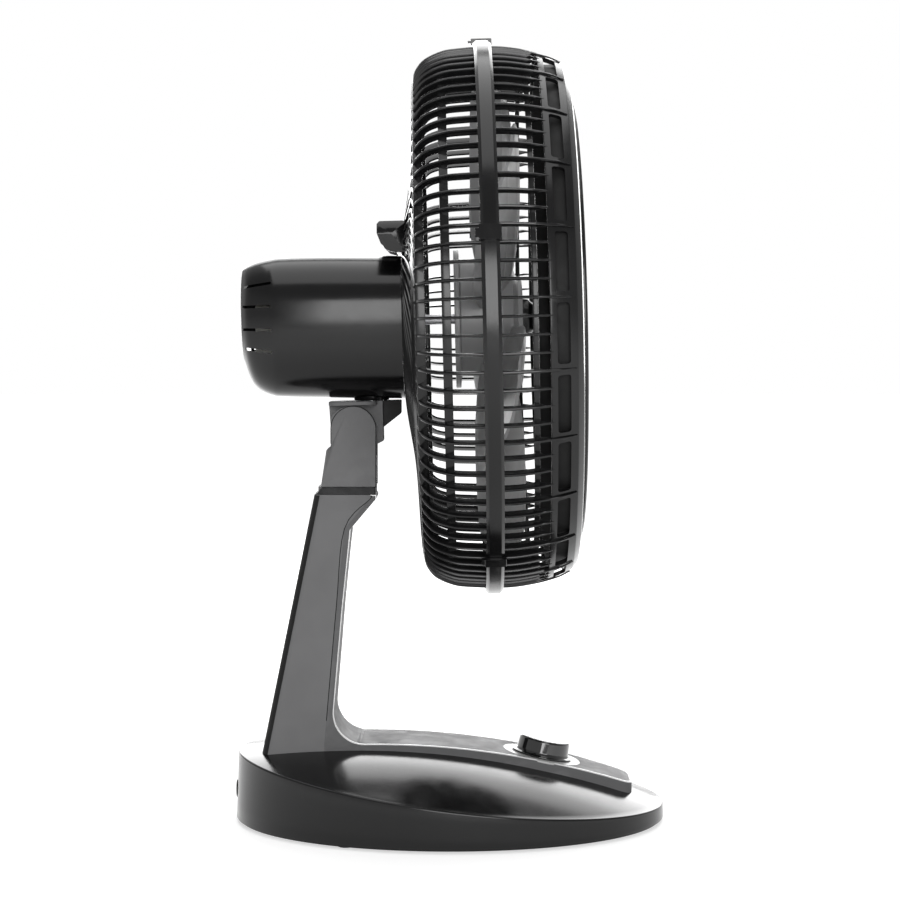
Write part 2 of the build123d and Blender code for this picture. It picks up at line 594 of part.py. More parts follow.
def neck_column():
    """The upper column: a narrow groove block and a fork with round cheeks."""
    rear = PIVOT_X - NECK_HEAD_RADIUS
    front = PIVOT_X + NECK_HEAD_RADIUS + 0.2
    shoulder = PIVOT_Z - 12.0
    outline = [(rear - 5.4, NECK_BOTTOM), (rear - 1.0, PIVOT_Z - 16.0), (rear + 2.5, shoulder),
               (rear + 4.5, PIVOT_Z + 5.0), (front, PIVOT_Z + 5.0), (front, NECK_BOTTOM)]
    body = slab(outline, NECK_HALF_WIDTH) + at_pivot(Cylinder(NECK_HEAD_RADIUS, NECK_HALF_WIDTH * 2))
    groove = block((COLUMN_REAR_TOP_X + GROOVE_DEPTH + 1, -NECK_HALF_WIDTH + GROOVE_DEPTH, COLUMN_TOP),
                   (COLUMN_FRONT_TOP_X - GROOVE_DEPTH, NECK_HALF_WIDTH - GROOVE_DEPTH, NECK_BOTTOM))
    well = at_pivot(Cylinder(FORK_FLOOR_RADIUS, FORK_HALF_GAP * 2))
    floor = PIVOT_Z - FORK_FLOOR_RADIUS
    well += block((PIVOT_X, -FORK_HALF_GAP, floor), (front + 5, FORK_HALF_GAP, PIVOT_Z + 30))
    well += block((rear - 12, -FORK_HALF_GAP, shoulder), (PIVOT_X, FORK_HALF_GAP, PIVOT_Z + 30))
    bore = at_pivot(Cylinder(PIN_RADIUS + RUNNING_GAP, PIN_HALF_LENGTH * 2 + 0.4))
    return body + groove - well - bore - neck_screw_holes()


def tongue_outline():
    """The bracket's side outline, rounded off in steps that clear the fork's floor."""
    reach = FORK_FLOOR_RADIUS
    return [(PIVOT_X - 0.84 * reach, PLATFORM_Z), (PIVOT_X - 0.77 * reach, PIVOT_Z - 0.47 * reach),
            (PIVOT_X - 0.47 * reach, PIVOT_Z - 0.775 * reach),
            (PIVOT_X + 0.516 * reach, PIVOT_Z - 0.775 * reach),
            (PIVOT_X + 1.174 * reach, PIVOT_Z - 0.446 * reach), (PIVOT_X + 1.174 * reach, PLATFORM_Z)]


def tilt_bracket():
    """The tongue between the fork's cheeks and the platform under the motor housing."""
    outline = tongue_outline()
    tongue = slab(outline, TONGUE_HALF_WIDTH)
    platform = block((outline[0][0], -PLATFORM_HALF_WIDTH, PLATFORM_Z - PLATFORM_THICKNESS),
                     (PLATFORM_FRONT_X, PLATFORM_HALF_WIDTH, PLATFORM_Z))
    platform = fillet(platform.edges().filter_by(Axis.Z), 9)
    socket = upright(SWING_X, 0, PLATFORM_Z - POST_DEPTH, PLATFORM_Z + 1, POST_RADIUS)
    return tilted(tongue + platform - at_pivot(Cylinder(PIN_RADIUS, 60)) - socket)


def bracket_nose():
    """The dark prism on the bracket's front, under the motor housing."""
    rear, front = PLATFORM_FRONT_X, PLATFORM_FRONT_X + 19.3
    low, step = PLATFORM_Z - 22.1, PLATFORM_Z - 10.5
    outline = [(rear, PLATFORM_Z), (front, PLATFORM_Z), (front - 0.3, step), (rear + 3.5, low), (rear, low)]
    return tilted(slab(outline, NOSE_HALF_WIDTH) - slab(tongue_outline(), TONGUE_HALF_WIDTH))


def tilt_pin():
    return tilted(at_pivot(Cylinder(PIN_RADIUS, PIN_HALF_LENGTH * 2)))


def tilt_washers():
    disc = Cylinder(WASHER_RADIUS, WASHER_THICKNESS) - Cylinder(PIN_RADIUS, 5)
    aside = TONGUE_HALF_WIDTH + WASHER_THICKNESS / 2
    return Compound([tilted(at_pivot(Pos(0, 0, z) * disc)) for z in (aside, -aside)])


def swing_post():
    """The upright post on which the whole head oscillates, with its keeper washer."""
    top = AXIS_Z + SWING_BOSS_TOP
    post = upright(SWING_X, 0, PLATFORM_Z - POST_DEPTH, top + 0.4, POST_RADIUS)
    keeper = upright(SWING_X, 0, top + 0.3, top + 2.0, POST_HEAD_RADIUS)
    return tilted(post + keeper)


# ---- motor housing ------------------------------------------------------------------------
def housing_curve(u, half_width, tall, power):
    """Half a superellipse from one side to the other, tall above or below the widest line."""
    points = []
    for k in range(SECTION_POINTS + 1):
        turn = radians(180.0 * k / SECTION_POINTS)
        y = half_width * abs(cos(turn)) ** (2 / power) * (1 if k < SECTION_POINTS / 2 else -1)
        points.append((u, y, HOUSING_MIDDLE + tall * sin(turn) ** (2 / power)))
    way = 1 if tall > 0 else -1
    return Spline(*points, tangents=[(0, 0, way), (0, 0, -way)])


def housing_section(u, half_width, low, high):
    """Across the motor: nearly round above the widest line, squarer below it."""
    upper = housing_curve(u, half_width, high - HOUSING_MIDDLE, HOUSING_UPPER_POWER)
    lower = housing_curve(u, half_width, low - HOUSING_MIDDLE, HOUSING_LOWER_POWER)
    return make_face([upper, lower])


def housing_sections(inset):
    """The housing's outside sections, or those of a room inset all round."""
    sections = []
    for length, wide, deep, tall in HOUSING_STATIONS:
        sections.append((HOUSING_FRONT - length * HOUSING_LENGTH, wide * HOUSING_HALF_WIDTH - inset,
                         deep * HOUSING_LOW + inset, tall * HOUSING_HIGH - inset))
    return sections


def housing_block(sections):
    """The long body and its rounded rear end, each a smooth loft through evenly spaced sections."""
    body = loft([housing_section(*section) for section in sections[:HOUSING_BODY_STATIONS]])
    return body + loft([housing_section(*section) for section in sections[HOUSING_BODY_STATIONS - 1:]])


def housing_room():
    """The room inside the housing, open at the front."""
    sections = housing_sections(HOUSING_WALL)
    u, *rear_size = sections[-1]
    return housing_block([*sections[:-1], (u + HOUSING_WALL, *rear_size)])


def vent_slots():
    """Four short slots on each side that fan out forwards and wrap the rear corner."""
    slots = []
    for z, slope in VENT_SLOTS:
        for side in (1, -1):
            place = Pos(VENT_SLOT_FRONT, side * HOUSING_HALF_WIDTH, z) * Rot(0, -slope, 0) * Pos(-15, 0, 0)
            slots.append(place * Box(30, 40, VENT_SLOT_HEIGHT))
    return slots


def motor_housing():
    swing_u = SWING_X - RING_X
    shell = housing_block(housing_sections(0)) - housing_room()
    collar_bottom = PLATFORM_Z + COLLAR_GAP - AXIS_Z
    boss = upright(swing_u, 0, collar_bottom, SWING_BOSS_TOP, COLLAR_RADIUS)
    bore = upright(swing_u, 0, collar_bottom - 1, SWING_BOSS_TOP + 1, POST_RADIUS + RUNNING_GAP)
    return in_head(shell + boss - bore - vent_slots())


def front_plate():
    """Closes the housing and carries the front bearing and the threaded tube for the grille nut."""
    u, half_width, low, high = housing_sections(HOUSING_WALL + 0.4)[0]
    low = housing_sections(HOUSING_WALL + 0.4)[1][2]
    plate = extrude(housing_section(u - 3.4, half_width, low, high), amount=3.0, dir=(1, 0, 0))
    hole = ring(HOUSING_FRONT - 23, HOUSING_FRONT + 17, 0, BEARING_RADIUS)
    tube = ring(HOUSING_FRONT - 6.0, HOUSING_FRONT + 13.0, BEARING_RADIUS, TUBE_RADIUS)
    arms = ring(STATOR_FRONT - 2.0, HOUSING_FRONT - 3.0, STATOR_RADIUS, STATOR_RADIUS + CUP_WALL)
    return in_head(plate - hole + tube + arms)


def rear_frame():
    """The motor's rear cup, which holds the rear bearing and the gearbox."""
    back, rim = CUP_BACK, STATOR_REAR + 12
    cup = turned([(back, BEARING_RADIUS), (back, STATOR_RADIUS + CUP_WALL), (rim, STATOR_RADIUS + CUP_WALL),
                  (rim, STATOR_RADIUS), (back + 3, STATOR_RADIUS), (back + 3, BEARING_RADIUS + 4),
                  (back + 9, BEARING_RADIUS + 4), (back + 9, BEARING_RADIUS)])
    windows = spun(block((back - 1, -9, 18), (back + 4, 9, STATOR_RADIUS - 6)), 4, 45)
    return in_head(cup - windows)


def bearings():
    front = ring(HOUSING_FRONT - 4.0, HOUSING_FRONT + 6.0, SHAFT_R + RUNNING_GAP, BEARING_RADIUS)
    rear = ring(CUP_BACK, CUP_BACK + 9.0, SHAFT_R + RUNNING_GAP, BEARING_RADIUS)
    return Compound([in_head(front), in_head(rear)])


def stator_core():
    core = ring(STATOR_REAR, STATOR_FRONT, STATOR_BORE, STATOR_RADIUS)
    slots = spun(block((STATOR_REAR - 1, -3, STATOR_BORE + 3), (STATOR_FRONT + 1, 3, STATOR_RADIUS - 6)), 12)
    return in_head(core - slots)


def stator_coils():
    inner, outer = STATOR_BORE + 3.5, STATOR_RADIUS - 6.5
    coils = []
    for end, way in ((STATOR_REAR, -1), (STATOR_FRONT, 1)):
        far = end + way * COIL_LENGTH
        bend = end + way * (COIL_LENGTH - 3)
        coils.append(in_head(turned([(end, inner), (bend, inner), (far, inner + 3), (far, outer - 3),
                                     (bend, outer), (end, outer)])))
    return Compound(coils)


def gearbox():
    """The oscillation gearbox on the back of the motor, driven by the shaft's rear end."""
    case = block((CUP_BACK - GEARBOX_LENGTH, -17, -30), (CUP_BACK, 17, 15))
    case = fillet(case.edges().filter_by(Axis.X), 5)
    return in_head(case - ring(CUP_BACK - 21, CUP_BACK + 9, 0, SHAFT_R + 1))


def crank_arm():
    """The gearbox's output crank, under its case."""
    u = CUP_BACK - GEARBOX_LENGTH / 2
    arm = Pos(u, 0, -32.3) * extrude(SlotCenterToCenter(14, 11), amount=2.2)
    pin = Pos(u + 7, 0, -36) * Cylinder(2.5, 4.0, align=(Align.CENTER, Align.CENTER, Align.MIN))
    return in_head(arm + pin)


# ---- grilles ------------------------------------------------------------------------------
def rib(outer, depth=RIB_DEPTH, width=RIB_WIDTH):
    """A flat rib that lies in a plane through the axis, its outer edge along the given line."""
    return slab([*outer, *reversed(inset_line(outer, depth))], width / 2)


def spiral_line():
    """A dish rib's middle line seen from behind: an arc from the shoulder in to the centre disc."""
    turn = radians(SPIRAL_TURN)
    start = Vector(0, SHOULDER[1])
    end = Vector(sin(turn), cos(turn)) * (REAR_DISC_RADIUS - 1)
    chord = end - start
    bulge = SPIRAL_RADIUS - sqrt(SPIRAL_RADIUS**2 - (chord.length / 2) ** 2)
    middle = (start + end) / 2 + Vector(-chord.Y, chord.X) * (bulge / chord.length)
    return ThreePointArc(start, middle, end)


def dish_rib(short):
    """A thin wall that follows the spiral line and the dish, whole or ending at the dish's hoop."""
    wall = extrude(Plane.YZ * trace(spiral_line(), RIB_WIDTH), amount=60, both=True)
    dish = turned([*DISH_CURVE, *[(u + DISH_RIB_DEPTH, r) for u, r in reversed(DISH_CURVE)]])
    rib_solid = Pos(DISH_CURVE[-1][0] / 2, 0, 0) * wall & dish
    if short:
        rib_solid -= ring(-90, 0, 0, DISH_HOOP_RADIUS)
    return rib_solid


def rear_grille():
    """The rear cage: side ribs, hoops, spiral ribs on the dish and a centre disc."""
    ribs = spun(rib(list(reversed(REAR_CURVE))), RIB_COUNT)
    half = RIB_COUNT // 2
    ribs += spun(dish_rib(False), half)
    ribs += spun(dish_rib(True), half, 360.0 / RIB_COUNT)
    flange = ring(-SPLIT_GAP - FLANGE_THICKNESS, -SPLIT_GAP, FLANGE_INNER, FLANGE_RADIUS)
    back = DISH_CURVE[-1][0]
    disc = ring(back, back + REAR_DISC_THICKNESS, TUBE_RADIUS + 0.3, REAR_DISC_RADIUS)
    hoop_u = DISH_CURVE[2][0]
    dish_hoop = ring(hoop_u, hoop_u + 3, DISH_HOOP_RADIUS - 2, DISH_HOOP_RADIUS + 2)
    return in_head(flange + ring(*SHOULDER_HOOP) + ring(*TIE_HOOP) + disc + dish_hoop + ribs)


def front_side_rib(long):
    """A rib of the front half: a short one ends on the band, a long one runs over it as a fin."""
    tip = (BAND_START[0] + 1, BAND_START[1] - 0.4)
    outer = [(FLANGE_THICKNESS, GRILLE_RADIUS), (31.0, GRILLE_RADIUS - 2.6), tip]
    inner = [(tip[0], tip[1] - 1.8), (31.0, GRILLE_RADIUS - 8.0), (FLANGE_THICKNESS, FLANGE_INNER)]
    if long:
        outer[-1] = (tip[0], tip[1] + 1.4)
        outer.append(LONG_RIB_END)
        inner.insert(0, (LONG_RIB_END[0], BAND_END[1] - 0.5))
    return slab([*outer, *inner], RIB_WIDTH / 2)


def front_band():
    """The solid band and rolled lip round the cage's front, with a row of windows."""
    middle = (WINDOW_START + WINDOW_END) / 2
    length = 2 * BAND_END[1] * sin(radians(WINDOW_ANGLE / 2))
    window = RectangleRounded(WINDOW_END - WINDOW_START, length, WINDOW_CORNER)
    cutter = Pos(middle, 0, LIP_INNER) * extrude(window, amount=30)
    return turned(BAND_LINE) - spun(cutter, WINDOW_COUNT, 180.0 / WINDOW_COUNT)


def front_disc():
    """The raised disc in the middle of the front: rim, slanted bars and centre plate."""
    rim = ring(RIM_BACK, RIM_FRONT, RIM_INNER, RIM_RADIUS)
    spoke = block((RIM_BACK + 1, -SPOKE_WIDTH / 2, RIM_RADIUS - 1),
                  (RIM_BACK + 1 + SPOKE_THICKNESS, SPOKE_WIDTH / 2, LIP_INNER + 1.5))
    start = sqrt((FRONT_DISC_RADIUS - 1) ** 2 - BAR_SLANT**2)
    end = sqrt((RIM_INNER + 1) ** 2 - BAR_SLANT**2)
    bar = block((BAR_BACK, BAR_SLANT - BAR_WIDTH / 2, start), (BAR_FRONT, BAR_SLANT + BAR_WIDTH / 2, end))
    plate = ring(BAR_BACK, BAR_FRONT, 6.0, FRONT_DISC_RADIUS)
    hoop = ring(BAR_BACK - 1.6, BAR_BACK + 0.4, MID_RING_RADIUS - 1.5, MID_RING_RADIUS + 1.5)
    return rim + plate + hoop + spun(spoke, SPOKE_COUNT) + spun(bar, SPOKE_COUNT)


def front_grille():
    flange = ring(SPLIT_GAP, SPLIT_GAP + FLANGE_THICKNESS, FLANGE_INNER, FLANGE_RADIUS)
    step = 360.0 / RIB_COUNT
    ribs = [Rot(i * step, 0, 0) * front_side_rib(i % LONG_RIB_EVERY == 0) for i in range(RIB_COUNT)]
    return in_head(flange + ring(*FRONT_HOOP) + front_band() + ribs + front_disc())


def centre_badge():
    """The plain domed disc over the front centre plate."""
    front = BAR_FRONT
    radius = FRONT_DISC_RADIUS - 3
    disc = turned([(front - 4.0, 0), (front - 4.0, 5.8), (front, 5.8), (front, radius),
                   (front + 0.8, radius - 0.6), (front + 2.2, radius * 0.6), (front + 2.8, 0)])
    return in_head(disc)


def grille_nut():
    """The big hand nut that clamps the rear grille onto the motor's tube."""
    back = DISH_CURVE[-1][0] + REAR_DISC_THICKNESS
    nut = ring(back, back + 8.0, TUBE_RADIUS, 38.0)
    grips = spun(Pos(back + 4.0, 0, 41.0) * Rot(0, 90, 0) * Cylinder(5.5, 12.0), 10)
    return in_head(nut - grips)


def clamp_ring():
    """The hoop that holds the two cage halves together, hollow inside like a channel."""
    inside = RING_HALF_WIDTH - RING_WALL
    half = [(RING_FLAT_HALF_WIDTH, RING_RADIUS), (RING_HALF_WIDTH, RING_RADIUS - RING_SLOPE),
            (RING_HALF_WIDTH, RING_LIP_RADIUS), (inside, RING_LIP_RADIUS), (inside, FLANGE_RADIUS + 0.1)]
    return in_head(turned([*half, *[(-u, r) for u, r in reversed(half)]]))


def ring_envelope():
    """Everything within the clamp ring's outside."""
    half = [(RING_FLAT_HALF_WIDTH, RING_RADIUS), (RING_HALF_WIDTH, RING_RADIUS - RING_SLOPE),
            (RING_HALF_WIDTH, LIP_INNER)]
    return turned([*half, *[(-u, r) for u, r in reversed(half)]])


def ring_clips():
    """Five clips that snap over the clamp ring."""
    w, r = CLIP_HALF_WIDTH, RING_RADIUS
    saddle = block((-w, -CLIP_LENGTH / 2, RING_LIP_RADIUS), (w, CLIP_LENGTH / 2, r + CLIP_RISE))
    saddle = chamfer(saddle.edges().group_by(Axis.Z)[-1], 1.0)
    tab = block((-w - 2.4, -3.0, r - 1.6), (-w + 1, 3.0, r + 0.6))
    return Compound([in_head(c) for c in spun(saddle + tab - ring_envelope(), CLIP_COUNT)])


def handle():
    """The carrying grip on the rear of the cage, open underneath for the fingers."""
    rear, front = HANDLE_REAR, HOUSING_FRONT
    outline = [(front, HANDLE_LOW), (front, HANDLE_TOP), (rear + 3.5, HANDLE_TOP), (rear, HANDLE_TOP - 4.0),
               (rear, HANDLE_LIP), (rear + 3.6, HANDLE_LIP - 8.2), (rear + 8.6, HANDLE_LOW + 1.6),
               (front - 8.5, HANDLE_LOW)]
    body = slab(outline, HANDLE_HALF_LENGTH)
    body = fillet(body.edges().filter_by(Axis.Y).group_by(Axis.Z)[-1], 3.0)
    pocket = block((rear + HANDLE_WALL, -HANDLE_HALF_LENGTH + HANDLE_WALL, HANDLE_LOW - 5),
                   (front - 3.0, HANDLE_HALF_LENGTH - HANDLE_WALL, HANDLE_TOP - HANDLE_WALL))
    return in_head(body - pocket)


# ---- rotor --------------------------------------------------------------------------------
def motor_shaft():
    rear = CUP_BACK - 14.0
    return in_head(turned([(rear, 0), (rear, SHAFT_R), (SHAFT_END - 1, SHAFT_R), (SHAFT_END, SHAFT_R - 1),
                           (SHAFT_END, 0)]))


def rotor_core():
    core = ring(STATOR_REAR, STATOR_FRONT, SHAFT_R, STATOR_BORE - AIR_GAP)
    ends = [ring(u, u + 4, 12.0, STATOR_BORE - 2) for u in (STATOR_REAR - 4, STATOR_FRONT)]
    return in_head(core + ends)


def blade_section(radius, chord, pitch, lag, camber):
    """One curved strip section of a blade, at a distance from the axis."""
    slope = radians(pitch)
    along = Vector(sin(slope), cos(slope))
    across = Vector(cos(slope), -sin(slope))
    middle = Vector(BLADE_MIDDLE, lag)
    thin = BLADE_THICKNESS / 2

    def at(share, side):
        bow = camber * (1 - (2 * share) ** 2)
        return middle + along * (chord * share) + across * (bow + side * thin)

    upper = ThreePointArc(at(-0.5, 1), at(0, 1), at(0.5, 1))
    lower = ThreePointArc(at(0.5, -1), at(0, -1), at(-0.5, -1))
    ends = [Line(at(0.5, 1), at(0.5, -1)), Line(at(-0.5, -1), at(-0.5, 1))]
    return Pos(0, 0, radius) * make_face([upper, ends[0], lower, ends[1]])


def blade():
    reach = turned([(-30, 0), (-30, BLADE_TIP), (50, BLADE_TIP), (50, 0)])
    return loft([blade_section(*section) for section in BLADE_SECTIONS]) & reach


def fan_blade():
    r = HUB_RADIUS
    outside = [(HUB_REAR, r + 6), (HUB_REAR, r + 9), (HUB_REAR + 4, r + 9), (HUB_REAR + 4, r), (12, r),
               (20, r - 5), (24, r - 14), (HUB_FRONT, r - 15)]
    sleeve = [(HUB_FRONT, SHAFT_R), (-18, SHAFT_R), (-18, 11), (20, 11)]
    inside = [(20, r - 17), (15, r - 8), (9, r - 3), (HUB_REAR + 3, r - 3), (HUB_REAR + 3, r + 6)]
    hub = turned([*outside, *sleeve, *inside])
    return in_head(hub + spun(blade(), BLADE_COUNT))


def blade_nut():
    """The domed nut that holds the blade on its shaft."""
    back, tip = HUB_FRONT, HUB_FRONT + 13.0
    dome = [(back, SHAFT_R), (back, 15), (back + 5, 14.2), (back + 10, 10.0), (tip - 0.5, 4.0), (tip, 0)]
    return in_head(turned([*dome, (SHAFT_END + 0.2, 0), (SHAFT_END + 0.2, SHAFT_R)]))


# ---- all the pieces -----------------------------------------------------------------------
def make_parts():
    outside = base_outside()
    inside = base_inside()
    profile = strip_profile()
    trim = strip_trim(profile)
    return {
        "base_shell": base_shell(outside, inside),
        "bottom_plate": bottom_plate(),
        "rubber_feet": rubber_feet(),
        "base_screws": base_screws(),
        "ballast_weight": ballast(),
        "run_capacitor": capacitor(),
        "control_strip": control_strip(profile & strip_outline(0), trim, outside),
        "strip_trim": trim,
        "lower_column": lower_column(outside),
        "neck_column": neck_column(),
        "neck_screws": neck_screws(),
        "dial_plate": dial_plate(),
        "speed_switch": speed_switch(),
        "switch_shaft": knob_shaft(),
        "speed_knob": speed_knob(),
        "knob_cap": knob_cap(),
        "tilt_bracket": tilt_bracket(),
        "bracket_nose": bracket_nose(),
        "tilt_pin": tilt_pin(),
        "tilt_washers": tilt_washers(),
        "swing_post": swing_post(),
        "motor_housing": motor_housing(),
        "front_plate": front_plate(),
        "rear_frame": rear_frame(),
        "shaft_bearings": bearings(),
        "stator_core": stator_core(),
        "stator_coils": stator_coils(),
        "gearbox": gearbox(),
        "crank_arm": crank_arm(),
        "rear_grille": rear_grille(),
        "front_grille": front_grille(),
        "centre_badge": centre_badge(),
        "grille_nut": grille_nut(),
        "clamp_ring": clamp_ring(),
        "ring_clips": ring_clips(),
        "handle": handle(),
        "motor_shaft": motor_shaft(),
        "rotor_core": rotor_core(),
        "fan_blade": fan_blade(),
        "blade_nut": blade_nut(),
    }


os.makedirs("parts", exist_ok=True)
for name, shape in make_parts().items():
    export_step(shape, f"parts/{name}.step")
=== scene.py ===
"""Looks for the table air circulator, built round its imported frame.

Sizes are in millimetres and become metres when a piece is placed. The head's pieces are drawn in
the head's own frame: +X along the blades' axis, origin in the middle of the clamp ring. There a
(u, r) point lies u along the axis and r away from it. An outline's third value is the rounding of
that corner.
"""

import json
from math import cos, hypot, pi, radians, sin, sqrt, tan

import bmesh
import bpy
from mathutils import Matrix, Vector


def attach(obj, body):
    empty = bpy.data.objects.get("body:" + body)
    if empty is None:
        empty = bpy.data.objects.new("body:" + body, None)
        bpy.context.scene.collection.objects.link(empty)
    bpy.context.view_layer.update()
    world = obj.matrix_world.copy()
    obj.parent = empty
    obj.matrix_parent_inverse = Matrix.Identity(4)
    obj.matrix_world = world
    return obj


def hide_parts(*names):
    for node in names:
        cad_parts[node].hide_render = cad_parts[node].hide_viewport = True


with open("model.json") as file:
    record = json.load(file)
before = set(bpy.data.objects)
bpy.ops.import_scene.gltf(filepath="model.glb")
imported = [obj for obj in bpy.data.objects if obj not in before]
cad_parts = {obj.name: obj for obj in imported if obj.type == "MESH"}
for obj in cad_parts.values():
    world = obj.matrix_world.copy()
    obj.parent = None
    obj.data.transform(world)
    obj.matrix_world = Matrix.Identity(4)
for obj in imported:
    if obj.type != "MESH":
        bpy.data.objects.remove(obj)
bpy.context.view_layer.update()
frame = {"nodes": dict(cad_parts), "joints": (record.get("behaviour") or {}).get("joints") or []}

MM = 0.001
ROUND_STEPS = 240  # faces round a hoop
FINE_STEPS = 400  # faces round the clamp hoop and the band
SMALL_STEPS = 128  # faces round the hub and the knob
CRISP_ANGLE = 40  # degrees: on curved pieces, only sharper edges stay crisp
MOULD_ANGLE = 30  # degrees: sharper edges of a node are rounded
JOINTS = {joint["name"]: joint for joint in frame["joints"]}

# ---- cage: (u, r) sizes in the head's frame ----
RIB_COUNT = 100
RIB_WIDTH = 2.2
RIB_DEPTH = 6.0
DISH_RIB_DEPTH = 4.0
FLANGE = (0.4, 5.0, 209.0, 216.6)  # u start, u end, inner and outer radius
# the outer lines of the ribs run from the front to the back
SIDE_LINE = [(-1.0, 215.0), (-18.0, 213.9), (-31.0, 212.2), (-45.0, 206.2), (-52.0, 198.5), (-54.5, 191.5),
             (-56.0, 182.0)]
DISH_LINE = [(-54.5, 191.5), (-56.0, 180.0), (-59.2, 120.0), (-65.0, 79.0), (-67.1, 60.0)]
SHORT_LINE = [(43.5, 208.6), (41.0, 209.6), (31.0, 212.3), (15.0, 214.6), (0.6, 215.0)]
LONG_LINE = [(60.5, 203.4), (52.0, 207.4), (42.0, 210.4), (31.0, 212.7), (15.0, 214.8), (0.6, 215.0)]
RIB_TAPER_FROM = 33.0  # the front ribs get thinner ahead of here
SHORT_RIB_TAPER = (0.75, 0.8)  # shares of width and depth lost at the tip
LONG_RIB_TAPER = (0.8, 0.78)
DEPTH_LEAD = 1.6  # how much sooner the depth shrinks
SPIRAL_TURN = 58.0  # degrees between the ends of a dish rib
SPIRAL_RADIUS = 220.0  # of the dish rib's own arc, seen from behind
SPIRAL_END = 61.0
SHORT_SPIRAL_END = 118.25
SPIRAL_STEPS = 40
# the disc behind the motor's front end: u ahead of the dish ribs' inner end
DISC_LINE = [(2.4, 22.3), (0.0, 22.3), (0.0, 56.0), (0.5, 62.0), (3.4, 62.0), (3.4, 59.4), (2.4, 58.0)]
SHOULDER_HOOP = (-54.5, -47.5, 189.0, 193.0)
TIE_HOOP = (-35.5, -29.0, 203.0, 207.0)
FRONT_HOOP = (29.0, 33.0, 203.0, 207.5)
DISH_HOOP = (-59.2, -56.2, 116.25, 120.25)
BAND = [(41.0, 209.2), (51.0, 206.1), (61.0, 202.0), (65.2, 197.0), (66.5, 188.5), (64.0, 186.5),
        (62.6, 195.0), (59.4, 199.4), (50.0, 203.2), (41.0, 206.2)]
WINDOW_COUNT = 25
WINDOW_SPAN = (46.0, 55.5)
WINDOW_ANGLE = 12.4  # degrees
WINDOW_CORNER = 2.5
WINDOW_CUT = (192.0, 222.0)  # radii between which the windows are cut
BAND_SHADE_HOOP = (43.0, 58.5, 198.4, 199.6)  # the near-black hoop behind the windows: painted shade seen through them
LONG_RIB_EVERY = 4
RIM = [(62.0, 173.6), (62.0, 177.4), (68.6, 176.9), (70.0, 175.6), (69.2, 173.8)]
SPOKE_COUNT = 50
BAR_SLANT = 26.0
BAR_U = (64.6, 68.6)
BAR_STEPS = 12
BAR_LINE = [(-1.2, 0.3), (-0.7, 0.0), (0.7, 0.0), (1.2, 0.3), (1.2, 3.2), (0.8, 3.8), (0.0, 4.0), (-0.8, 3.8),
            (-1.2, 3.2)]
SPOKE_LINE = [(-2.4, 0.2), (-2.2, 0.0), (2.2, 0.0), (2.4, 0.2), (2.3, 2.4), (-2.3, 2.4)]
SPOKE_U = 63.4
SPOKE_RADII = (176.0, 182.0, 188.0)
CENTRE_RADIUS = 38.0
CENTRE_HOLE_RADIUS = 6.2
MID_HOOP = (63.2, 65.2, 102.4, 105.6)
RING_LINE = [(-6.8, 215.5, 0.2), (-6.8, 217.6, 0.6), (-4.4, 219.6, 0.9), (4.4, 219.6, 0.9), (6.8, 217.6, 0.6),
             (6.8, 215.5, 0.2), (5.5, 215.5, 0.2), (5.5, 217.3, 0.2), (-5.5, 217.3, 0.2), (-5.5, 215.5, 0.2)]
CLIP_COUNT = 5
CLIP_FIRST = 2.2  # degrees from the top
CLIP_HALF_WIDTH = 8.2
CLIP_HALF_LENGTH = 5.6
CLIP_RISE = 1.9  # over the ring
CLIP_HOOK = 3.4  # how far its edges reach in past the ring's outside
CLIP_WALL = 1.2
CLIP_TAB = (2.4, 3.0)  # how far back it reaches, and half its width
CLIP_TAB_HEIGHTS = (-1.8, 0.4)  # from the ring's outside

# ---- rotor ----
BLADE_COUNT = 6
BLADE_TIP = 183.5
BLADE_ROOT = 44.0
BLADE_THICKNESS = 2.2
BLADE_MIDDLE = 7.0
BLADE_TIP_ROUNDING = 14.0
# radius, chord, pitch in degrees, lag and camber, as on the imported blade
BLADE_STATIONS = [(43.5, 40.0, 38.0, 0.0, 4.0), (95.0, 84.0, 26.0, 4.0, 7.0), (145.0, 112.0, 19.0, 12.0, 8.0),
                  (190.0, 118.0, 16.0, 24.0, 7.0)]
BLADE_RIDGES = (-0.3, -0.02, 0.26)  # shares of the chord
RIDGE_HALF_WIDTH = 0.02  # share of the chord
RIDGE_HEIGHT = 0.7
BLADE_STEPS = 24  # along the chord
BLADE_ROWS = 16  # out to where the tip's rounding starts
TIP_ROWS = 6
HUB_LINE = [(-26.0, 52.0), (-26.0, 55.0, 0.8), (-22.0, 55.0, 0.8), (-21.4, 46.2, 1.0), (12.0, 46.0, 3.0),
            (20.0, 41.0, 2.0), (24.0, 32.0, 1.5), (27.8, 31.0, 1.5), (28.0, 4.2), (-18.0, 4.2), (-18.0, 11.0),
            (20.0, 11.0), (20.0, 29.0), (15.0, 38.0), (9.0, 43.0), (-23.0, 43.0), (-23.0, 52.0)]

# ---- motor housing ----
HOUSING_FRONT = -67.4
HOUSING_LENGTH = 126.0
HOUSING_HALF_WIDTH = 52.0
HOUSING_LOW = -61.9
HOUSING_HIGH = 50.4
HOUSING_MIDDLE = 4.1  # height of the widest line above the blades' axis
# shares of the length, half width, low and high
HOUSING_STATIONS = [(0.0, 1.0, 1.008, 1.02), (0.25, 1.007, 0.992, 1.04), (0.5, 1.004, 0.972, 1.056),
                    (0.75, 0.975, 0.95, 1.054), (0.833, 0.935, 0.928, 1.034), (0.917, 0.848, 0.845, 0.99),
                    (0.965, 0.77, 0.72, 0.945), (1.0, 0.65, 0.5, 0.9)]
HOUSING_POWER = 2.25  # of the superellipse that its sections are
HOUSING_WALL = 2.5
HOUSING_STEPS = 96  # round the housing and the collar under it
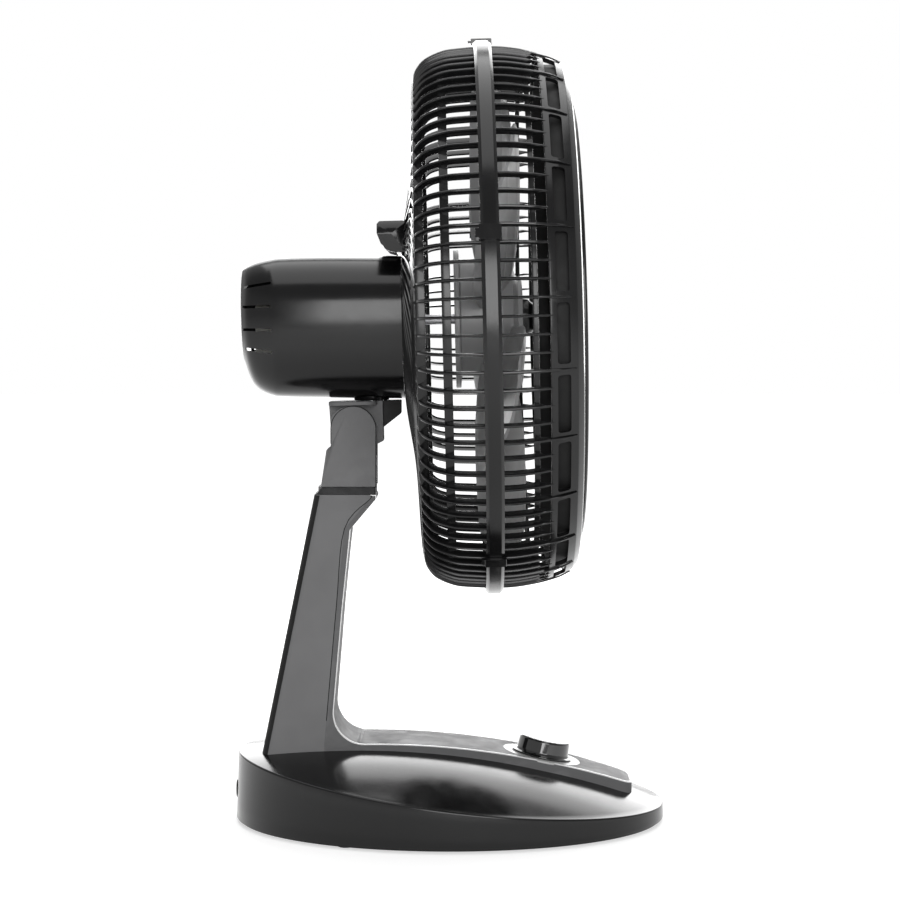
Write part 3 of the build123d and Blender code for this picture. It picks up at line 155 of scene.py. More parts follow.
# share of the last section's size, and how far behind it
REAR_FACE_ROWS = [(0.985, 0.35), (0.95, 0.6), (0.7, 0.95), (0.35, 1.15), (0.01, 1.2)]
VENT_SLOTS = [(31.5, 7.6), (13.2, 0.3), (-5.4, -2.4), (-22.5, -7.6)]  # height at the front end, slope
VENT_SLOT_FRONT = -169.0
VENT_SLOT_LENGTH = 30.0
VENT_SLOT_HEIGHT = 2.2
VENT_SLOT_REACH = (32.0, 62.0)  # sideways, where the slots are cut
WEB_SPAN = (-192.5, -162.0)  # of the web inside the rear end
WEB_HEIGHTS = (-16.0, 44.0)
SWING_COLLAR_LINE = [(0.4, 6.2), (0.4, 13.8), (2.6, 14.2), (9.0, 15.5), (9.0, 6.2)]

# ---- grip: (u, height) in the head's frame ----
GRIP_OUTLINE = [(-63.4, 53.0, 0.6), (-63.4, 77.8, 2.0), (-83.2, 77.8, 1.6), (-85.3, 75.4, 1.6),
                (-85.3, 67.8, 2.5), (-82.3, 60.0, 4.0), (-77.3, 54.6, 3.0), (-71.9, 53.0, 2.0)]
GRIP_HALF_LENGTH = 47.0
GRIP_RIDGE = (-74.0, 67.5)  # where its ends stand out furthest
GRIP_END_CURVE = 0.064  # per millimetre, above the ridge
GRIP_END_LEAN = 0.12  # below it
GRIP_ROOM = ((-82.9, -40.0, 45.0), (-70.4, 40.0, 72.4))  # for the fingers

# ---- column and neck ----
COLUMN_TOP = 261.8
COLUMN_TOP_HALF_WIDTH = 23.5
COLUMN_SPREAD = 0.057  # how much wider each side gets per millimetre down
COLUMN_REAR_TOP = -107.7
COLUMN_REAR_LEAN = 0.2003
COLUMN_REAR_ROUNDING = 8.0
EDGE_BAND_ANGLES = (14.0, 66.0)  # of the painted-shade band round the rear edge, from straight back
EDGE_BAND_HEIGHTS = (COLUMN_TOP - 0.6, 160.0, 52.0)
EDGE_BAND_SKIN = (0.12, 0.8)  # how far it stands out of the column, and reaches in
EDGE_BAND_STEPS = 8
SEAM_WIDTH = 0.7
SEAM_SKIN = (0.05, 0.4)
SEAM_LINE = [(-63.2, 261.0), (-63.2, 258.5), (-83.5, 235.0), (-89.7, 174.6), (-97.5, 84.0)]
NECK_HALF_WIDTH = 20.0
NECK_HEAD = (-76.6, 314.0, 17.8)  # x, z and radius of its round end
NECK_SEAM_DROPS = (46.0, 12.0)  # its front and rear ends, below the round end's middle
NECK_CUT = ((-99.0, -30.0, 299.0), (-94.6, 30.0, 330.0))  # behind its round end
NECK_COLLAR_LOW = ((-106.6, -22.8), (-59.0, 22.8), 262.1)
NECK_COLLAR_HIGH = ((-101.8, -20.2), (-59.0, 20.2), 267.5)

# ---- base ----
BASE_HALF_LENGTH = 171.0
BASE_HALF_WIDTH = 130.0
BASE_DRAFT = 2.0
BASE_WALL = 2.5
SKIRT_BOTTOM = 3.2
CREST_X = -75.0
CREST_Z = 62.4
CREST_FRONT_RADIUS = 652.0
CREST_REAR_RADIUS = 746.0
CROWN_RADIUS = 328.0
RIM_ROUNDING = 1.5
BASE_STEPS = 288  # round the base
CROWN_ROWS = 24  # from its middle to the rim
CROWN_BUNCHING = 0.8  # below 1 it draws the rows together towards the rim
INNER_CROWN_ROWS = 12
RIM_ROWS = 5
SKIRT_ROWS = 4
SKIRT_EDGE_HEIGHT = 0.7  # where the skirt's lower edge starts to round
SKIRT_EDGE = [(0.25, 0.2), (0.8, 0.0), (BASE_WALL, 0.0)]  # from there on: inset and height
RIM_GUESS = 30.0  # a first height for the rim
CORD_HOLE_Z = 24.0
CORD_HOLE_RADIUS = 4.2
CORD_HOLE_X = -182.0  # the cutter's start, behind the base
CORD_HOLE_DEPTH = 24.0
CORD_LIP_LINE = [(-1.2, 4.2), (-1.2, 7.4), (0.4, 7.0), (0.4, 4.6)]

# ---- knob, round the dial's axis ----
KNOB_LINE = [(0.35, 3.2), (0.3, 24.0, 0.4), (1.3, 24.1, 0.4), (2.2, 21.9, 1.0), (4.0, 20.9, 1.5),
             (12.4, 20.2, 1.2), (13.7, 19.2, 0.4), (13.7, 18.6, 0.2), (12.7, 18.6, 0.2), (12.6, 3.2)]
CAP_LINE = [(12.5, 0.01), (12.5, 18.4), (13.5, 18.4, 0.3), (13.9, 17.9, 0.3), (13.6, 16.8, 0.5), (13.6, 0.01)]
MARK_LOW = (12.9, -0.7, -17.2)  # two corners of the mark cut into the cap
MARK_HIGH = (14.4, 0.7, -12.4)

# ---- studio ----
# name, place, aim, width, height and radiance, in metres
LAMPS = [("front_panel", (0.4, -3.0, 0.97), (0.4, 0, 0.97), 1.8, 1.47, 7.6),
         ("top_panel", (0.1, 0.21, 2.2), (0.1, 0.21, 0), 2.0, 2.58, 2.1),
         ("back_panel", (0.1, 2.6, 1.05), (0.1, 0, 1.05), 3.0, 1.5, 4.2),
         ("back_panel_fading", (0.1, 2.6, 2.2), (0.1, 0, 2.2), 3.0, 0.8, 2.5)]
ROOM_LIGHT = 0.3  # the world's strength for rays that only light the object
# its reflected strength: from this share of a direction to that, from this strength to that
WORLD_UPWARDS = (0.3, 0.6, 1.0, 0.6)
WORLD_BACKWARDS = (0.0, 0.5, 0.7, 1.0)
FLOOR_HALF_SIZE = 12.0
FLOOR_Z = -0.0002
FLOOR_GREYS = ((0.6, 0.6, 0.6, 1), (0.62, 0.62, 0.62, 1))
FLOOR_GLOW = (0.3, 0.8, 0.58, 1.0)  # from this distance to that, from this strength to that

# ---- photograph's view, in metres and degrees ----
CAMERA_DISTANCE = 1.816
CAMERA_HEIGHT = 0.392
CAMERA_PITCH = 1.66  # down
CAMERA_SHIFT = -0.06
CAMERA_LENS = 90.8


# ---- places ----
def joint_place(name):
    """A joint's own frame in metres: +X along its axis, +Y the row's +Y, origin on the axis."""
    joint = JOINTS[name]
    along = Vector(joint["axis"]).normalized()
    side = Vector((0, 1, 0))
    turn = Matrix((along, side, along.cross(side))).transposed().to_4x4()
    return Matrix.Translation(joint["pos_m"]) @ turn


ROW = Matrix.Identity(4)
HEAD = joint_place("blade_spin")
DIAL = joint_place("speed_dial")
SWING = joint_place("oscillation")


# ---- shapes: a shape is its points and its faces ----
def lofted(rings, wrap=False):
    """A skin over closed rings of equally many points, closed at both ends or joined into a loop."""
    count = len(rings[0])
    points = [p for ring in rings for p in ring]
    faces = []
    for k in range(len(rings) if wrap else len(rings) - 1):
        here = k * count
        there = (k + 1) % len(rings) * count
        for i in range(count):
            j = (i + 1) % count
            faces.append((here + i, here + j, there + j, there + i))
    if not wrap:
        faces.append(tuple(reversed(range(count))))
        faces.append(tuple(range(len(points) - count, len(points))))
    return points, faces


def boxed(low, high):
    """A box between two corners."""
    rings = [[(x, low[1], low[2]), (x, high[1], low[2]), (x, high[1], high[2]), (x, low[1], high[2])]
             for x in (low[0], high[0])]
    return lofted(rings)


def joined(shapes):
    """Several shapes as one."""
    points, faces = [], []
    for more_points, more_faces in shapes:
        start = len(points)
        points.extend(more_points)
        faces.extend(tuple(start + i for i in face) for face in more_faces)
    return points, faces


def turned_point(point, angle):
    """The point turned about the X axis."""
    x, y, z = point
    return x, y * cos(angle) - z * sin(angle), y * sin(angle) + z * cos(angle)


def spun(shape, count, first=0.0):
    """Copies of a shape at even steps about the X axis."""
    points, faces = shape
    copies = []
    for k in range(count):
        angle = radians(first) + 2 * pi * k / count
        copies.append(([turned_point(p, angle) for p in points], faces))
    return joined(copies)


def rounded(outline, radius=0.5, steps=4):
    """A closed outline with its corners rounded. A point's third value is its own radius."""
    line = []
    for i, point in enumerate(outline):
        corner = Vector(point[:2])
        size = point[2] if len(point) > 2 else radius
        back = Vector(outline[i - 1][:2]) - corner
        ahead = Vector(outline[(i + 1) % len(outline)][:2]) - corner
        reach = min(size / tan(back.angle(ahead) / 2), back.length * 0.48, ahead.length * 0.48)
        start = corner + back.normalized() * reach
        end = corner + ahead.normalized() * reach
        for k in range(steps + 1):
            t = k / steps
            line.append(start * (1 - t) ** 2 + corner * 2 * t * (1 - t) + end * t**2)
    return line


def smooth_line(points, steps=4):
    """A smooth line through points, with steps spans between each two."""
    padded = [points[0], *points, points[-1]]
    line = []
    for k in range(1, len(padded) - 2):
        before, start, end, after = (Vector(p) for p in padded[k - 1:k + 3])
        for i in range(steps):
            t = i / steps
            second = 2 * before - 5 * start + 4 * end - after
            third = 3 * start - before - 3 * end + after
            line.append(0.5 * (2 * start + (end - before) * t + second * t**2 + third * t**3))
    line.append(Vector(points[-1]))
    return line


def turned(outline, segments=ROUND_STEPS):
    """A closed (u, r) outline turned about the X axis."""
    rings = []
    for k in range(segments):
        angle = 2 * pi * k / segments
        rings.append([(u, r * cos(angle), r * sin(angle)) for u, r in outline])
    return lofted(rings, wrap=True)


def hoop(u_start, u_end, inner, outer):
    """A flat hoop between two places along the axis and two radii."""
    outline = [(u_start, inner), (u_start, outer), (u_end, outer), (u_end, inner)]
    return turned(rounded(outline, 0.5, 2))


def swept(path, outline, sizes=None):
    """An outline of (side, depth) points carried along a path of (place, side, depth) vectors."""
    rings = []
    for k, (place, side, depth) in enumerate(path):
        wide, deep = sizes[k] if sizes else (1.0, 1.0)
        rings.append([tuple(place + side * (x * wide) + depth * (z * deep)) for x, z in outline])
    return lofted(rings)


def rib_path(places):
    """The places that a rib passes on its way back, each with its directions across and into the cage."""
    path = []
    for k, place in enumerate(places):
        before, after = places[max(k - 1, 0)], places[min(k + 1, len(places) - 1)]
        outwards = Vector((0, place.y, place.z)).normalized()
        rise = hypot(after.y, after.z) - hypot(before.y, before.z)
        inwards = (outwards * (after.x - before.x) - Vector((rise, 0, 0))).normalized()
        path.append((place, (after - before).cross(inwards).normalized(), inwards))
    return path


def side_path(line):
    """A rib's path in the upright plane through the axis."""
    return rib_path([Vector((u, 0, r)) for u, r in smooth_line(line)])


def rib_outline(depth):
    """A moulded rib's section: rounded outer edge, slightly thinner inner edge."""
    half = RIB_WIDTH / 2
    return [(-half, 0.9), (-half * 0.72, 0.25), (0.0, 0.0), (half * 0.72, 0.25), (half, 0.9),
            (half * 0.8, depth - 0.4), (half * 0.5, depth), (-half * 0.5, depth), (-half * 0.8, depth - 0.4)]


# ---- pieces ----
def finish_mesh(mesh, crisp):
    """Joins doubled points, turns faces outwards and shades all but the crisp edges smooth."""
    work = bmesh.new()
    work.from_mesh(mesh)
    bmesh.ops.remove_doubles(work, verts=work.verts, dist=4e-6)
    bmesh.ops.dissolve_degenerate(work, edges=work.edges, dist=1e-7)
    bmesh.ops.recalc_face_normals(work, faces=work.faces)
    work.to_mesh(mesh)
    work.free()
    mesh.shade_smooth()
    mesh.set_sharp_from_angle(angle=radians(crisp))


def add_object(name, data):
    """A new object in the scene."""
    made = bpy.data.objects.new(name, data)
    bpy.context.scene.collection.objects.link(made)
    return made


def make_object(name, shape, place, crisp=32):
    """A shape in millimetres, as an object in the scene."""
    points, faces = shape
    mesh = bpy.data.meshes.new(name)
    mesh.from_pydata([place @ (Vector(p) * MM) for p in points], [], faces)
    finish_mesh(mesh, crisp)
    return add_object(name, mesh)


def settle(piece, material, body, slot, *nodes):
    """Gives a finished piece its material and its body, and hides what it stands for."""
    piece.data.materials.clear()
    piece.data.materials.append(material)
    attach(piece, body)
    if nodes:
        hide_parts(*nodes)


def apply_modifiers(piece):
    """Replaces a piece's mesh by what its modifiers make of it."""
    graph = bpy.context.evaluated_depsgraph_get()
    made = bpy.data.meshes.new_from_object(piece.evaluated_get(graph))
    piece.modifiers.clear()
    piece.data = made


def carve(piece, cutter):
    """Takes the cutter's shape out of the piece."""
    cut = piece.modifiers.new("cut", "BOOLEAN")
    cut.operation = "DIFFERENCE"
    cut.solver = "EXACT"
    cut.object = cutter
    apply_modifiers(piece)
    bpy.data.objects.remove(cutter)


def bevel(piece, width, segments, angle=28):
    """Rounds the piece's sharper edges."""
    made = piece.modifiers.new("edges", "BEVEL")
    made.width = width * MM
    made.segments = segments
    made.limit_method = "ANGLE"
    made.angle_limit = radians(angle)
    made.harden_normals = True
    made.use_clamp_overlap = True


def softened(node, material, body, slot, width):
    """A node's own form with moulded, rounded edges, shown in the node's place."""
    work = bmesh.new()
    work.from_mesh(frame["nodes"][node].data)
    bmesh.ops.remove_doubles(work, verts=work.verts, dist=2e-6)
    bmesh.ops.dissolve_limit(work, angle_limit=radians(0.8), verts=work.verts, edges=work.edges)
    mesh = bpy.data.meshes.new(node + "_moulded")
    work.to_mesh(mesh)
    work.free()
    mesh.shade_smooth()
    mesh.set_sharp_from_angle(angle=radians(MOULD_ANGLE))
    piece = add_object(node + "_moulded", mesh)
    bevel(piece, width, 3, MOULD_ANGLE)
    settle(piece, material, body, slot, node)
    return piece


# ---- materials ----
WORN_POINTINESS = (0.53, 0.62)  # where rubbing starts, and where it is full


def set_inputs(tree, node, inputs):
    """Sets a node's inputs to values or links them to sockets."""
    for key, value in inputs.items():
        if isinstance(value, bpy.types.NodeSocket):
            tree.links.new(value, node.inputs[key])
        else:
            node.inputs[key].default_value = value


def add_node(tree, kind, inputs=None, **settings):
    """A shader node with its inputs and settings."""
    made = tree.nodes.new("ShaderNode" + kind)
    for key, value in settings.items():
        setattr(made, key, value)
    set_inputs(tree, made, inputs or {})
    return made


def new_material(name):
    material = bpy.data.materials.new(name)
    material.use_nodes = True
    tree = material.node_tree
    return material, tree, tree.nodes["Principled BSDF"]


def noise(tree, where, feature, detail=2.0, distortion=0.0):
    """Noise whose features are about this many millimetres wide."""
    made = add_node(tree, "TexNoise", {"Vector": where, "Scale": 1 / (feature * MM), "Detail": detail,
                                       "Distortion": distortion})
    return made.outputs["Fac"]


def ranged(tree, value, low, high, to_low, to_high, **settings):
    """The value moved from one range into another."""
    made = add_node(tree, "MapRange", {"Value": value, "From Min": low, "From Max": high, "To Min": to_low,
                                       "To Max": to_high}, **settings)
    return made.outputs["Result"]


def shade(colour, factor):
    return (*[min(c * factor, 1.0) for c in colour], 1.0)


def blended(tree, factor, first, second):
    """A colour between two, as far as the factor says."""
    made = add_node(tree, "Mix", data_type="RGBA")
    tree.links.new(factor, made.inputs["Factor"])
    for key, value in (("A", first), ("B", second)):
        socket = next(s for s in made.inputs if s.name == key and s.type == "RGBA")
        if isinstance(value, bpy.types.NodeSocket):
            tree.links.new(value, socket)
        else:
            socket.default_value = value
    return next(s for s in made.outputs if s.type == "RGBA")


def bumped(tree, shader, height, depth, strength=0.6):
    made = add_node(tree, "Bump", {"Height": height, "Distance": depth * MM, "Strength": strength})
    tree.links.new(made.outputs["Normal"], shader.inputs["Normal"])


def worn_edges(tree, where):
    """How rubbed a place is: high along convex edges, broken up by noise."""
    edge = ranged(tree, add_node(tree, "NewGeometry").outputs["Pointiness"], *WORN_POINTINESS, 0.0, 1.0)
    patchy = ranged(tree, noise(tree, where, 9.0, 4.0), 0.4, 0.62, 0.15, 1.0)
    return add_node(tree, "Math", {0: edge, 1: patchy}, operation="MULTIPLY").outputs[0]


def plastic(name, colour, roughness, specular=0.5, grain=0.35, depth=0.012, mottle=0.15, worn=2.2, coat=0.0):
    """Moulded plastic: a fine texture, slow colour and gloss changes, rubbed edges."""
    material, tree, shader = new_material(name)
    where = add_node(tree, "TexCoord").outputs["Object"]
    slow = noise(tree, where, 45.0, 3.0)
    colours = blended(tree, ranged(tree, slow, 0.3, 0.7, 0.0, 1.0), shade(colour, 1 - mottle),
                      shade(colour, 1 + mottle))
    rubbed = worn_edges(tree, where)
    colours = blended(tree, rubbed, colours, shade(colour, worn))
    cloudy = noise(tree, where, 14.0, 5.0, 0.6)
    gloss = ranged(tree, cloudy, 0.3, 0.7, roughness * 0.88, roughness * 1.14)
    set_inputs(tree, shader, {"Base Color": colours, "Roughness": gloss, "Specular IOR Level": specular,
                              "Coat Weight": coat, "Coat Roughness": 0.06})
    bumped(tree, shader, noise(tree, where, grain, 2.0), depth)
    return material


def rubber_material(name):
    material, tree, shader = new_material(name)
    where = add_node(tree, "TexCoord").outputs["Object"]
    dusty = ranged(tree, noise(tree, where, 4.0, 5.0), 0.45, 0.75, 0.0, 0.6)
    colours = blended(tree, dusty, (0.014, 0.014, 0.014, 1), (0.06, 0.058, 0.055, 1))
    gloss = ranged(tree, noise(tree, where, 2.0, 3.0), 0.3, 0.7, 0.7, 0.9)
    set_inputs(tree, shader, {"Base Color": colours, "Roughness": gloss})
    bumped(tree, shader, noise(tree, where, 0.5, 4.0), 0.05)
    return material


def metal(name, colour, roughness, stretch=(1, 1, 1), feature=0.6, depth=0.01, tarnish=0.25):
    """Machined metal, its marks drawn out along the axes with a small stretch."""
    material, tree, shader = new_material(name)
    where = add_node(tree, "TexCoord").outputs["Object"]
    drawn = add_node(tree, "Mapping", {"Vector": where, "Scale": stretch}).outputs["Vector"]
    marks = noise(tree, drawn, feature, 4.0)
    dull = ranged(tree, noise(tree, where, 7.0, 4.0), 0.35, 0.7, 0.0, tarnish)
    colours = blended(tree, dull, shade(colour, 1.0), shade(colour, 0.45))
    gloss = ranged(tree, marks, 0.3, 0.7, roughness * 0.8, roughness * 1.3)
    set_inputs(tree, shader, {"Base Color": colours, "Roughness": gloss, "Metallic": 1.0})
    bumped(tree, shader, marks, depth)
    return material


def layered_metal(name, colour, pitch, axis, depth, roughness):
    """Metal in thin layers or turns, pitch apart along an axis, such as laminations or windings."""
    material, tree, shader = new_material(name)
    where = add_node(tree, "TexCoord").outputs["Object"]
    wave = add_node(tree, "TexWave", {"Vector": where, "Scale": 0.3183 / (pitch * MM), "Distortion": 0.4,
                                      "Detail": 1.0}, wave_type="BANDS", bands_direction=axis)
    layers = wave.outputs["Fac"]
    dull = ranged(tree, noise(tree, where, 5.0, 4.0), 0.35, 0.7, 0.0, 0.5)
    base = blended(tree, dull, shade(colour, 1.0), shade(colour, 0.5))
    # darkest in the narrow bands between layers: painted shade in the grooves there
    colours = blended(tree, ranged(tree, layers, 0.0, 0.3, 0.8, 0.0), base, shade(colour, 0.15))
    gloss = ranged(tree, layers, 0.0, 1.0, roughness * 1.3, roughness)
    set_inputs(tree, shader, {"Base Color": colours, "Roughness": gloss, "Metallic": 1.0})
    bumped(tree, shader, layers, depth, 1.0)
    return material


BLACK = plastic("black_shell", (0.004, 0.004, 0.0042), 0.17, 0.31)
BLACK_RIB = plastic("black_rib", (0.0045, 0.0045, 0.0047), 0.2, 0.31, grain=0.3, depth=0.008)
GRAPHITE = plastic("graphite_column", (0.14, 0.14, 0.142), 0.58, 0.2, grain=0.3, mottle=0.04, worn=1.25)
# a darker copy of the column's graphite: painted shade on the control strip
GRAPHITE_STRIP_SHADED = plastic("graphite_strip_painted_shade", (0.098, 0.098, 0.1), 0.56, 0.2, grain=0.3, mottle=0.04, worn=1.25)
# a near-black copy of the graphite: painted shade in the groove at the neck's foot
COLLAR_SHADE = plastic("collar_painted_shade", (0.022, 0.022, 0.0225), 0.5, 0.25, grain=0.3, depth=0.01)
# near-black matte for the dark seams and real black parts, and painted shade in the column's edge bands and
# behind the band's windows
SEAM_AND_SHADE = plastic("seam_shadow", (0.006, 0.006, 0.006), 0.6, 0.2, mottle=0.1, worn=1.5)
GLOSS = plastic("knob_gloss", (0.005, 0.005, 0.0052), 0.09, grain=0.6, depth=0.002, coat=0.5)
LIGHT = plastic("light_plastic", (0.42, 0.42, 0.415), 0.32, mottle=0.04, worn=1.15)
CAP = plastic("cap_face", (0.55, 0.55, 0.55), 0.28, mottle=0.03, worn=1.1)
BLADE = plastic("blade_plastic", (0.24, 0.24, 0.242), 0.34, mottle=0.06, worn=1.3)
# the trim lip is real; its light grey is a painted highlight along the strip's edge
TRIM_HIGHLIGHT = plastic("trim_painted_highlight", (0.55, 0.55, 0.55), 0.22, 0.8, mottle=0.05, worn=1.2)
BAKELITE = plastic("switch_case", (0.28, 0.27, 0.24), 0.45, mottle=0.08, worn=1.2)
NYLON = plastic("gear_case", (0.5, 0.49, 0.45), 0.4, mottle=0.05, worn=1.1)
RUBBER = rubber_material("foot_rubber")
STEEL = metal("turned_steel", (0.56, 0.56, 0.58), 0.28, (1, 0.15, 1))
SCREW = metal("zinc_screw", (0.62, 0.62, 0.6), 0.3, feature=0.4, tarnish=0.4)
IRON = metal("cast_iron", (0.1, 0.1, 0.105), 0.62, feature=1.2, depth=0.12, tarnish=0.6)
BRASS = metal("sintered_bronze", (0.56, 0.4, 0.2), 0.4, feature=0.3, depth=0.02)
LAMINATED = layered_metal("stator_laminations", (0.42, 0.42, 0.44), 0.5, "X", 0.15, 0.42)
WINDING = layered_metal("copper_winding", (0.6, 0.24, 0.1), 0.6, "X", 0.3, 0.3)


# ---- base ----
def top_height(x, y):
    """Height of the base's crowned top above the floor."""
    across = sqrt(CROWN_RADIUS**2 - y**2)
    along = CREST_FRONT_RADIUS if x > CREST_X else CREST_REAR_RADIUS
    reach = along - CROWN_RADIUS + across
    return CREST_Z - along + sqrt(reach**2 - (x - CREST_X) ** 2)


def base_point(angle, inset, z):
    """A point of the base's drafted outline at a height."""
    lean = max(z - SKIRT_BOTTOM, 0.0) * sin(radians(BASE_DRAFT))
    x = (BASE_HALF_LENGTH - inset - lean) * cos(angle)
    y = (BASE_HALF_WIDTH - inset - lean) * sin(angle)
    return x, y, z


def base_line(angle):
    """From the middle of the top out over the rim, down the skirt and back up inside the wall."""
    line = []
    x, y, _ = base_point(angle, RIM_ROUNDING, RIM_GUESS)
    for _ in range(3):  # the rim's place and height depend on each other
        x, y, _ = base_point(angle, RIM_ROUNDING, top_height(x, y))
    for k in range(CROWN_ROWS + 1):
        share = (k / CROWN_ROWS) ** CROWN_BUNCHING
        line.append((x * share, y * share, top_height(x * share, y * share)))
    rim = line[-1][2]
    for k in range(1, RIM_ROWS + 1):
        a = pi / 2 * k / RIM_ROWS
        line.append(base_point(angle, RIM_ROUNDING * (1 - sin(a)), rim - RIM_ROUNDING * (1 - cos(a))))
    low = SKIRT_BOTTOM + SKIRT_EDGE_HEIGHT
    for k in range(1, SKIRT_ROWS + 1):
        z = rim - RIM_ROUNDING + (low - rim + RIM_ROUNDING) * k / SKIRT_ROWS
        line.append(base_point(angle, 0, z))
    line.extend(base_point(angle, inset, SKIRT_BOTTOM + rise) for inset, rise in SKIRT_EDGE)
    x, y, _ = base_point(angle, BASE_WALL, rim - BASE_WALL)
    for k in range(INNER_CROWN_ROWS + 1):
        share = 1 - k / INNER_CROWN_ROWS
        line.append((x * share, y * share, top_height(x * share, y * share) - BASE_WALL))
    return line


def base_body():
    """The base's hollow shell, its crown and skirt, with the hole for the cord."""
    rings = [base_line(2 * pi * k / BASE_STEPS) for k in range(BASE_STEPS)]
    count = len(rings[0])
    points, faces = [], []
    for ring in rings:
        points.extend(ring)
    for k in range(len(rings)):
        here, there = k * count, (k + 1) % len(rings) * count
        faces.extend((here + i, here + i + 1, there + i + 1, there + i) for i in range(count - 1))
    piece = make_object("base_body", (points, faces), ROW, CRISP_ANGLE)
    line = [(0, 0.01), (0, CORD_HOLE_RADIUS), (CORD_HOLE_DEPTH, CORD_HOLE_RADIUS), (CORD_HOLE_DEPTH, 0.01)]
    place = Matrix.Translation((CORD_HOLE_X * MM, 0, CORD_HOLE_Z * MM))
    carve(piece, make_object("cord_cut", turned(rounded(line, 0.01, 1), 40), place))
    settle(piece, BLACK, "base", "black_plastic", "base_shell")


def cord_inlet():
    """The rounded lip round the cord's opening at the back of the base."""
    place = Matrix.Translation((-(BASE_HALF_LENGTH - 0.1) * MM, 0, CORD_HOLE_Z * MM))
    place = place @ Matrix.Rotation(pi, 4, "Z")
    piece = make_object("cord_inlet_lip", turned(rounded(CORD_LIP_LINE, 0.7), 64), place)
    settle(piece, BLACK, "base", "black_plastic")


# ---- motor housing ----
def housing_ring(u, half, low, high):
    """A nearly elliptical section across the motor, deeper below its widest line."""
    line = []
    for k in range(HOUSING_STEPS):
        a = 2 * pi * k / HOUSING_STEPS
        tall = high - HOUSING_MIDDLE if sin(a) >= 0 else HOUSING_MIDDLE - low
        y = half * abs(cos(a)) ** (2 / HOUSING_POWER) * (1 if cos(a) >= 0 else -1)
        z = HOUSING_MIDDLE + tall * abs(sin(a)) ** (2 / HOUSING_POWER) * (1 if sin(a) >= 0 else -1)
        line.append((u, y, z))
    return line


def housing_rows(inset):
    """Smoothly spaced sections from the front to the rear face, inset all round."""
    rows = []
    for length, wide, deep, tall in smooth_line([Vector(station) for station in HOUSING_STATIONS], 6):
        rows.append(housing_ring(HOUSING_FRONT - length * HOUSING_LENGTH, wide * HOUSING_HALF_WIDTH - inset,
                                 deep * HOUSING_LOW + inset, tall * HOUSING_HIGH - inset))
    last = rows[-1]
    low, high = min(z for _, _, z in last), max(z for _, _, z in last)
    for share, back in REAR_FACE_ROWS:
        centre = (low + high) / 2
        rows.append([(u - back, y * share, centre + (z - centre) * share) for u, y, z in last])
    return rows


def vent_slot(height, slope, side):
    """A round-ended slot cutter that reaches back round the housing's rear corner."""
    half = VENT_SLOT_HEIGHT / 2
    outline = rounded([(0, -half), (-VENT_SLOT_LENGTH, -half), (-VENT_SLOT_LENGTH, half), (0, half)], 0.85)
    lean = tan(radians(slope))
    return lofted([[(VENT_SLOT_FRONT + u, side * y, height + z + lean * u) for u, z in outline]
                   for y in VENT_SLOT_REACH])


def motor_housing():
    """The hollow housing with its side slots, and the web inside it."""
    outside = housing_rows(0.0)
    inside = [[(u + HOUSING_WALL if k >= len(outside) - len(REAR_FACE_ROWS) else u, y, z) for u, y, z in row]
              for k, row in enumerate(housing_rows(HOUSING_WALL))]
    piece = make_object("motor_cover", lofted([*reversed(inside), *outside]), HEAD, CRISP_ANGLE)
    slots = [vent_slot(height, slope, side) for height, slope in VENT_SLOTS for side in (1, -1)]
    carve(piece, make_object("slot_cut", joined(slots), HEAD))
    piece.data.shade_smooth()
    piece.data.set_sharp_from_angle(angle=radians(CRISP_ANGLE))
    web = boxed((WEB_SPAN[0], -1.0, WEB_HEIGHTS[0]), (WEB_SPAN[1], 1.0, WEB_HEIGHTS[1]))
    settle(make_object("housing_web", web, HEAD), SEAM_AND_SHADE, "head", "black_plastic")
    settle(piece, BLACK, "head", "black_plastic", "motor_housing")


def swing_collar():
    """The round collar under the housing that turns on the bracket's post."""
    piece = make_object("swing_collar", turned(rounded(SWING_COLLAR_LINE), HOUSING_STEPS), SWING)
    settle(piece, BLACK, "head", "black_plastic")


# ---- cage ----
def spiral_places(end_radius):
    """Along a dish rib from the shoulder inwards: an arc seen from behind, as far back as the dish is."""
    dish = smooth_line(DISH_LINE, 6)
    turn = radians(SPIRAL_TURN)
    start = Vector((0.0, DISH_LINE[0][1]))
    end = Vector((sin(turn), cos(turn))) * SPIRAL_END
    chord = end - start
    half = chord.length / 2
    away = Vector((chord.y, -chord.x)).normalized() * sqrt(SPIRAL_RADIUS**2 - half**2)
    centre = (start + end) / 2 + away
    reach = (start - centre).angle(end - centre)
    first = start - centre
    places = []
    for k in range(SPIRAL_STEPS + 1):
        angle = -reach * k / SPIRAL_STEPS
        y = centre.x + first.x * cos(angle) - first.y * sin(angle)
        z = centre.y + first.x * sin(angle) + first.y * cos(angle)
        r = hypot(y, z)
        if r < end_radius:
            break
        i = next(i for i in range(len(dish) - 1) if r >= dish[i + 1].y or i == len(dish) - 2)
        share = (dish[i].y - r) / (dish[i].y - dish[i + 1].y)
        places.append(Vector((dish[i].x + (dish[i + 1].x - dish[i].x) * share, y, z)))
    return places


def rear_cage():
    """The rear half: side ribs, dish ribs, hoops, flange and the disc behind the motor."""
    shapes = [spun(swept(side_path(SIDE_LINE), rib_outline(RIB_DEPTH)), RIB_COUNT)]
    half = RIB_COUNT // 2
    for end, first in ((SPIRAL_END, 0.0), (SHORT_SPIRAL_END, 360.0 / RIB_COUNT)):
        shapes.append(spun(swept(rib_path(spiral_places(end)), rib_outline(DISH_RIB_DEPTH)), half, first))
    for size in (SHOULDER_HOOP, TIE_HOOP, DISH_HOOP, (-FLANGE[1], -FLANGE[0], *FLANGE[2:])):
        shapes.append(hoop(*size))
    disc = [(DISH_LINE[-1][0] + ahead, r) for ahead, r in DISC_LINE]
    shapes.append(turned(rounded(disc, 0.5, 2)))
    piece = make_object("rear_cage", joined(shapes), HEAD)
    settle(piece, BLACK_RIB, "head", "black_plastic", "rear_grille")


